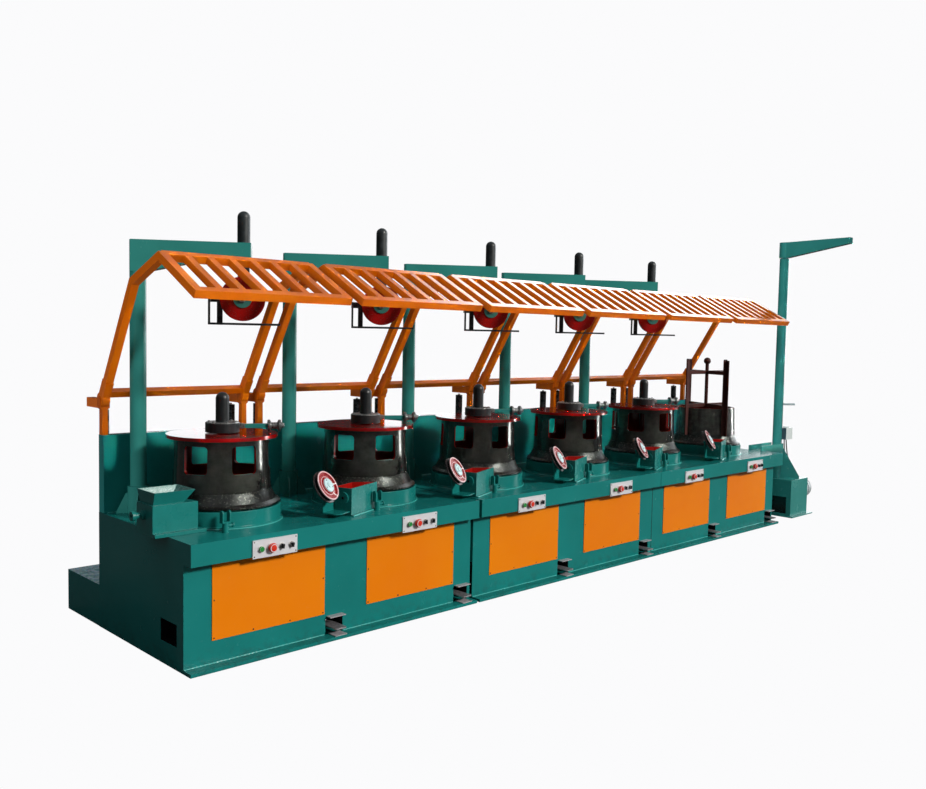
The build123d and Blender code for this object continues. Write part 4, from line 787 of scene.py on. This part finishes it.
def damper_finish():
    """Black stoved enamel on the cylinder and hard chrome on the rod above it, told by height."""
    material, tree, inputs, place = surface("black_enamel_and_chromed_rod")
    rod = where(tree, (add(tree, "SeparateXYZ", place, out=2), ">", DAMPER_ROD_Z))
    smear = add(tree, "TexNoise", {"Vector": place, "Scale": 1 / 0.03, "Detail": 4.0})
    black = add(tree, "Mix", {0: smear, 6: "#14171A", 7: "#2B3033"}, out=2, data_type="RGBA")
    tree.links.new(add(tree, "Mix", {0: rod, 6: black, 7: "#D5D6D6"}, out=2, data_type="RGBA"),
                   inputs["Base Color"])
    tree.links.new(rod, inputs["Metallic"])
    tree.links.new(add(tree, "MapRange", smear, 0.3, 0.7, 0.22, 0.34), inputs["Roughness"])
    return material


eased("guard_dampers", 0.001, damper_finish())


# Coil hoist: a winch housing, a flanged motor with a fan cowl, a round post with stay plates and a swinging jib, all
# sprayed green but for the grey motor. Two black rubber cables hang from its junction box.
# Box round the rope's slot, painted near black inside as painted shade.
SHADED_ROPE_SLOT = ((3.5495, 3.635), (-0.4405, -0.2245), (0.0295, 0.2005))
TOWER_AT = (3.640, -0.268)
TOWER_R = 0.048
STAY_SHADE_Z = 0.75, 0.62
PEG_Z, PEG_R = 1.152, 0.013
MOTOR_AT = (3.916, -0.325, 0.235)
MOTOR_R = 0.093
COWL_END_X = 4.135
HOIST_GREEN = "#2F827D"
hoist_green = enamel("alkyd_enamel_green_hoist", HOIST_GREEN, rough=0.2, cloud=0.3)
eased("hoist_boom", 0.003, hoist_green, "hoist_boom")


def winch_finish():
    """Green enamel, painted near black inside the rope's slot as painted shade of that recess, which is told by its
    place behind the left side.
    """
    material, tree, inputs, place = surface("green_enamel_winch_painted_slot_shade", IOR=1.5)
    ways = add(tree, "SeparateXYZ", place).node.outputs
    inside = where(tree, *[test for value, (low, high) in zip(ways, SHADED_ROPE_SLOT)
                           for test in ((value, ">", low), (value, "<", high))])
    colour = add(tree, "Mix", {0: inside, 6: HOIST_GREEN, 7: "#0C1716"}, out=2, data_type="RGBA")
    paint_coat(tree, inputs, place, colour, 0.2, 0.3)
    return material


eased("hoist_box", 0.003, winch_finish())


def tower_finish():
    """Green enamel, painted darker on the stay plates at its foot as painted shade, told by height, and a bare
    zinc-plated peg, told by its height and its distance from the tower."""
    material, tree, inputs, place = surface("green_enamel_tower_painted_foot_shade", IOR=1.5)
    radius, (_, _, z) = polar(tree, place, (*TOWER_AT, 0))
    level = add(tree, "Math", add(tree, "Math", z, PEG_Z, operation="SUBTRACT"), operation="ABSOLUTE")
    peg = where(tree, (level, "<", PEG_R), (radius, ">", TOWER_R + 0.0005))
    # Painted shade: the green darkens towards the tower's foot.
    foot = add(tree, "MapRange", z, *STAY_SHADE_Z, 0.0, 1.0, interpolation_type="SMOOTHSTEP")
    green = add(tree, "Mix", {0: foot, 6: HOIST_GREEN, 7: "#1C5F5A"}, out=2, data_type="RGBA")
    colour = add(tree, "Mix", {0: peg, 6: green, 7: "#9FAEB0"}, out=2, data_type="RGBA")
    paint_coat(tree, inputs, place, colour, 0.18, 0.3)
    return material


eased("hoist_tower", 0.002, tower_finish())


def two_tone(name, colour, other, way, limit, rough, cloud):
    """Stoved enamel in one colour, and in another where X lies beyond a limit, one way (>) or the other (<)."""
    material, tree, inputs, place = surface(name, IOR=1.5)
    part = where(tree, (add(tree, "SeparateXYZ", place, out=0), way, limit))
    both = add(tree, "Mix", {0: part, 6: colour, 7: other}, out=2, data_type="RGBA")
    paint_coat(tree, inputs, place, both, rough, cloud)
    return material


motor_grey = two_tone("stoved_enamel_grey_motor", "#B9C4C8", "#2D3B42", ">", COWL_END_X, 0.3, 0.1)
dress(["hoist_motor"], motor_grey)


def fin(turn):
    """Cooling rib: a thin tapered plate along the motor, four points across it, standing 8 mm off the barrel. Its
    first and last sections shrink to their middle, which closes its ends."""
    a = np.array([0, math.cos(turn), math.sin(turn)])
    b = np.array([0, -math.sin(turn), math.cos(turn)])
    top = MOTOR_R + 0.008
    across = np.array([(-0.003, MOTOR_R), (-0.0015, top), (0.0015, top), (0.003, MOTOR_R)])
    along = np.array([0.016, 0.016, 0.176, 0.176])
    shrink = np.array([0.0, 1.0, 1.0, 0.0])[:, None, None]
    section = across[:, :1] * b + across[:, 1:] * a
    middle = section.mean(axis=0)
    return np.array(MOTOR_AT) + along[:, None, None] * np.array([1.0, 0, 0]) + middle + shrink * (section - middle)


skins("motor_fins", [fin(a) for a in np.linspace(0, 2 * np.pi, 28, endpoint=False)], motor_grey)
JUNCTION_LEFT = 3.6885
eased("junction_box", 0.003, two_tone("die_cast_box_grey", "#BFC7C7", "#3E5560", "<", JUNCTION_LEFT, 0.34, 0.05))
flex = rubber("extruded_black_rubber", "#15191C")
CABLE_Y = -0.3020625


def hanging_cable(name, route):
    """Round flex of 12 mm: one NURBS spline has the route's points as its control points."""
    line = bpy.data.curves.new(name, "CURVE")
    line.dimensions = "3D"
    line.bevel_depth, line.bevel_resolution, line.use_fill_caps = 0.006, 3, True
    spline = line.splines.new("NURBS")
    spline.points.add(len(route) - 1)
    spline.points.foreach_set("co", [c for point in route for c in (*point, 1.0)])
    spline.order_u = 3
    spline.use_endpoint_u = True
    line.materials.append(flex)
    piece = bpy.data.objects.new(name, line)
    bpy.context.scene.collection.objects.link(piece)
    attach(piece, "machine_frame")
    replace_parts(piece, "hoist_cables")


hanging_cable("hoist_cable_left", [(3.7295, CABLE_Y, 0.7797), (3.7295, CABLE_Y, 0.7197), (3.7883, CABLE_Y, 0.4403),
                                   (3.7883, CABLE_Y, 0.3803)])
hanging_cable("hoist_cable_right", [(3.7743, CABLE_Y, 0.7797), (3.7743, CABLE_Y, 0.7197), (3.8695, CABLE_Y, 0.4403),
                                    (3.8695, CABLE_Y, 0.3803)])


# Studio: a plain pale floor and a plain pale surround. The key lamp is a soft sun from the front, a little to the
# right, and reflector screens light single pieces. What the paint and the polished iron mirror is the surround's
# bright right side, three bright areas behind, and a weak glow from above.
floor_mesh = bpy.data.meshes.new("floor")
floor_mesh.from_pydata([(-40, -40, -0.001), (40, -40, -0.001), (40, 40, -0.001), (-40, 40, -0.001)], [], [(0, 1, 2, 3)])
floor = bpy.data.objects.new("floor", floor_mesh)
bpy.context.scene.collection.objects.link(floor)
floor.visible_shadow = False
PALE = "#FBFBFC"
pale, tree = surface("studio_floor", Base_Color=linear("#4A4A4A"), Roughness=0.9)[:2]
seen = add(tree, "LightPath", out="Is Camera Ray")
bright = add(tree, "Emission", PALE, 1.0)
mixed = add(tree, "MixShader", seen, tree.nodes["Principled BSDF"].outputs[0], bright)
tree.links.new(mixed, tree.nodes["Material Output"].inputs["Surface"])
floor_mesh.materials.append(pale)

world = bpy.data.worlds.new("studio")
bpy.context.scene.world = world
world.use_nodes = True
tree = world.node_tree
backdrop = tree.nodes["Background"]
dx, dy, dz = add(tree, "SeparateXYZ", add(tree, "TexCoord", out="Generated")).node.outputs


def band(value, low, high, soft):
    """1 where value lies between low and high, fading to 0 over soft on either side."""
    rise = add(tree, "MapRange", value, low - soft, low, 0.0, 1.0, interpolation_type="SMOOTHSTEP")
    fall = add(tree, "MapRange", value, high, high + soft, 1.0, 0.0, interpolation_type="SMOOTHSTEP")
    return add(tree, "Math", rise, fall, operation="MULTIPLY")


def lit(shape, level, power):
    """A bright area: its shape around the horizon, times its shape in height, times its power."""
    return add(tree, "Math", add(tree, "Math", shape, level, operation="MULTIPLY"), power, operation="MULTIPLY")


behind = add(tree, "Math", dx, dy, operation="ARCTAN2")
right_side = lit(band(dx, 0.93, 2.0, 0.08), band(dz, 0.0, 0.22, 0.25), 5.0)
near_strip = lit(band(behind, math.radians(25.5), math.radians(29.2), 0.02), band(dz, 0.03, 0.150, 0.01), 2.0)
far_strip = lit(band(behind, math.radians(39.0), math.radians(44.2), 0.02), band(dz, 0.03, 0.2, 0.06), 1.8)
high_screen = lit(band(behind, math.radians(54.0), math.radians(70.0), 0.05), band(dz, 0.34, 0.56, 0.04), 5.5)
overhead = lit(band(dz, 0.6, 2.0, 0.35), 1.0, 0.3)
glow = 0.03
for area in (right_side, near_strip, far_strip, high_screen, overhead):
    glow = add(tree, "Math", area, glow, operation="ADD")
soft = add(tree, "Background", "#F4F8FB", glow)
white = add(tree, "Background", PALE, 1.0)
both = add(tree, "MixShader", add(tree, "LightPath", out="Is Camera Ray"), soft, white)
tree.links.new(both, tree.nodes["World Output"].inputs["Surface"])
tree.nodes.remove(backdrop)


def sun(name, side, rise, power, spread, colour, only=(), mirrored=False):
    """Far soft lamp: side is its turn to the right of the front and rise its height, in degrees. With only, it lights
    those pieces alone, as a reflector screen does that is set up beside them, and it shows in their gloss only where
    mirrored says so."""
    lamp = bpy.data.lights.new(name, "SUN")
    lamp.energy, lamp.angle, lamp.color = power, math.radians(spread), linear(colour)[:3]
    holder = bpy.data.objects.new(name, lamp)
    side, rise = math.radians(side), math.radians(rise)
    towards = Vector((math.cos(rise) * math.sin(side), -math.cos(rise) * math.cos(side), math.sin(rise)))
    holder.matrix_world = towards.to_track_quat("Z", "Y").to_matrix().to_4x4()
    bpy.context.scene.collection.objects.link(holder)
    lamp.cycles.use_multiple_importance_sampling = rise > 0
    if only:
        holder.visible_glossy = mirrored
        group = bpy.data.collections.new(name + "_group")
        for piece in only:
            group.objects.link(bpy.data.objects[piece])
        holder.light_linking.receiver_collection = group


WHITE, WARM = "#FFFFFF", "#FFF0DC"
blocks, guards = ([f"{kind}_{k}_finished" for k in range(1, 7)] for kind in ("block", "guard"))
sun("key", 21, 27, 3.0, 7.5, "#FFFBF4")
sun("right_panel", 74, -5, 0.22, 7, WHITE, blocks, True)
sun("left_reflector", -65, 20, 1.8, 30, WHITE, ["sheave_posts_finished", "junction_box_finished"])
sun("hoist_reflector", -62, 20, 2.6, 30, WHITE, ["hoist_tower_finished", "hoist_boom_finished"])
sun("winch_reflector", -62, 20, 0.7, 30, WHITE, ["hoist_box_finished"])
sun("wall_reflector", -78, 15, 0.9, 30, WHITE, ["splash_wall_finished"])
sun("floor_bounce", 0, -30, 1.25, 50, "#FFF3E4", [*guards, "guard_supports_finished"])
sun("roof_light", 60, 62, 1.0, 50, WARM, guards)
sun("guard_reflector", -65, 10, 1.5, 30, WARM, [*guards, "guard_supports_finished"])


# Camera: the place, turn and lens of the photograph's own camera, solved by least squares from edges and turned pieces
# that repeat along the machine. It stands at eye height and is tilted by a degree.
EYE = (-5.441, -4.8745, 1.797)
camera = bpy.data.cameras.new("camera")
camera.lens, camera.sensor_width = 35.86, 36.0
holder = bpy.data.objects.new("camera", camera)
yaw, pitch, roll = math.radians(44.17), math.radians(-3.63), math.radians(1.14)
forward = Vector((math.sin(yaw) * math.cos(pitch), math.cos(yaw) * math.cos(pitch), math.sin(pitch)))
level = Vector((math.cos(yaw), -math.sin(yaw), 0))
above = level.cross(forward)
right = math.cos(roll) * level + math.sin(roll) * above
above = math.cos(roll) * above - math.sin(roll) * level
turn = Matrix((right, above, -forward)).transposed()
holder.matrix_world = Matrix.Translation(EYE) @ turn.to_4x4()
bpy.context.scene.collection.objects.link(holder)
bpy.context.scene.camera = holder
bpy.context.scene.view_settings.view_transform = "Standard"
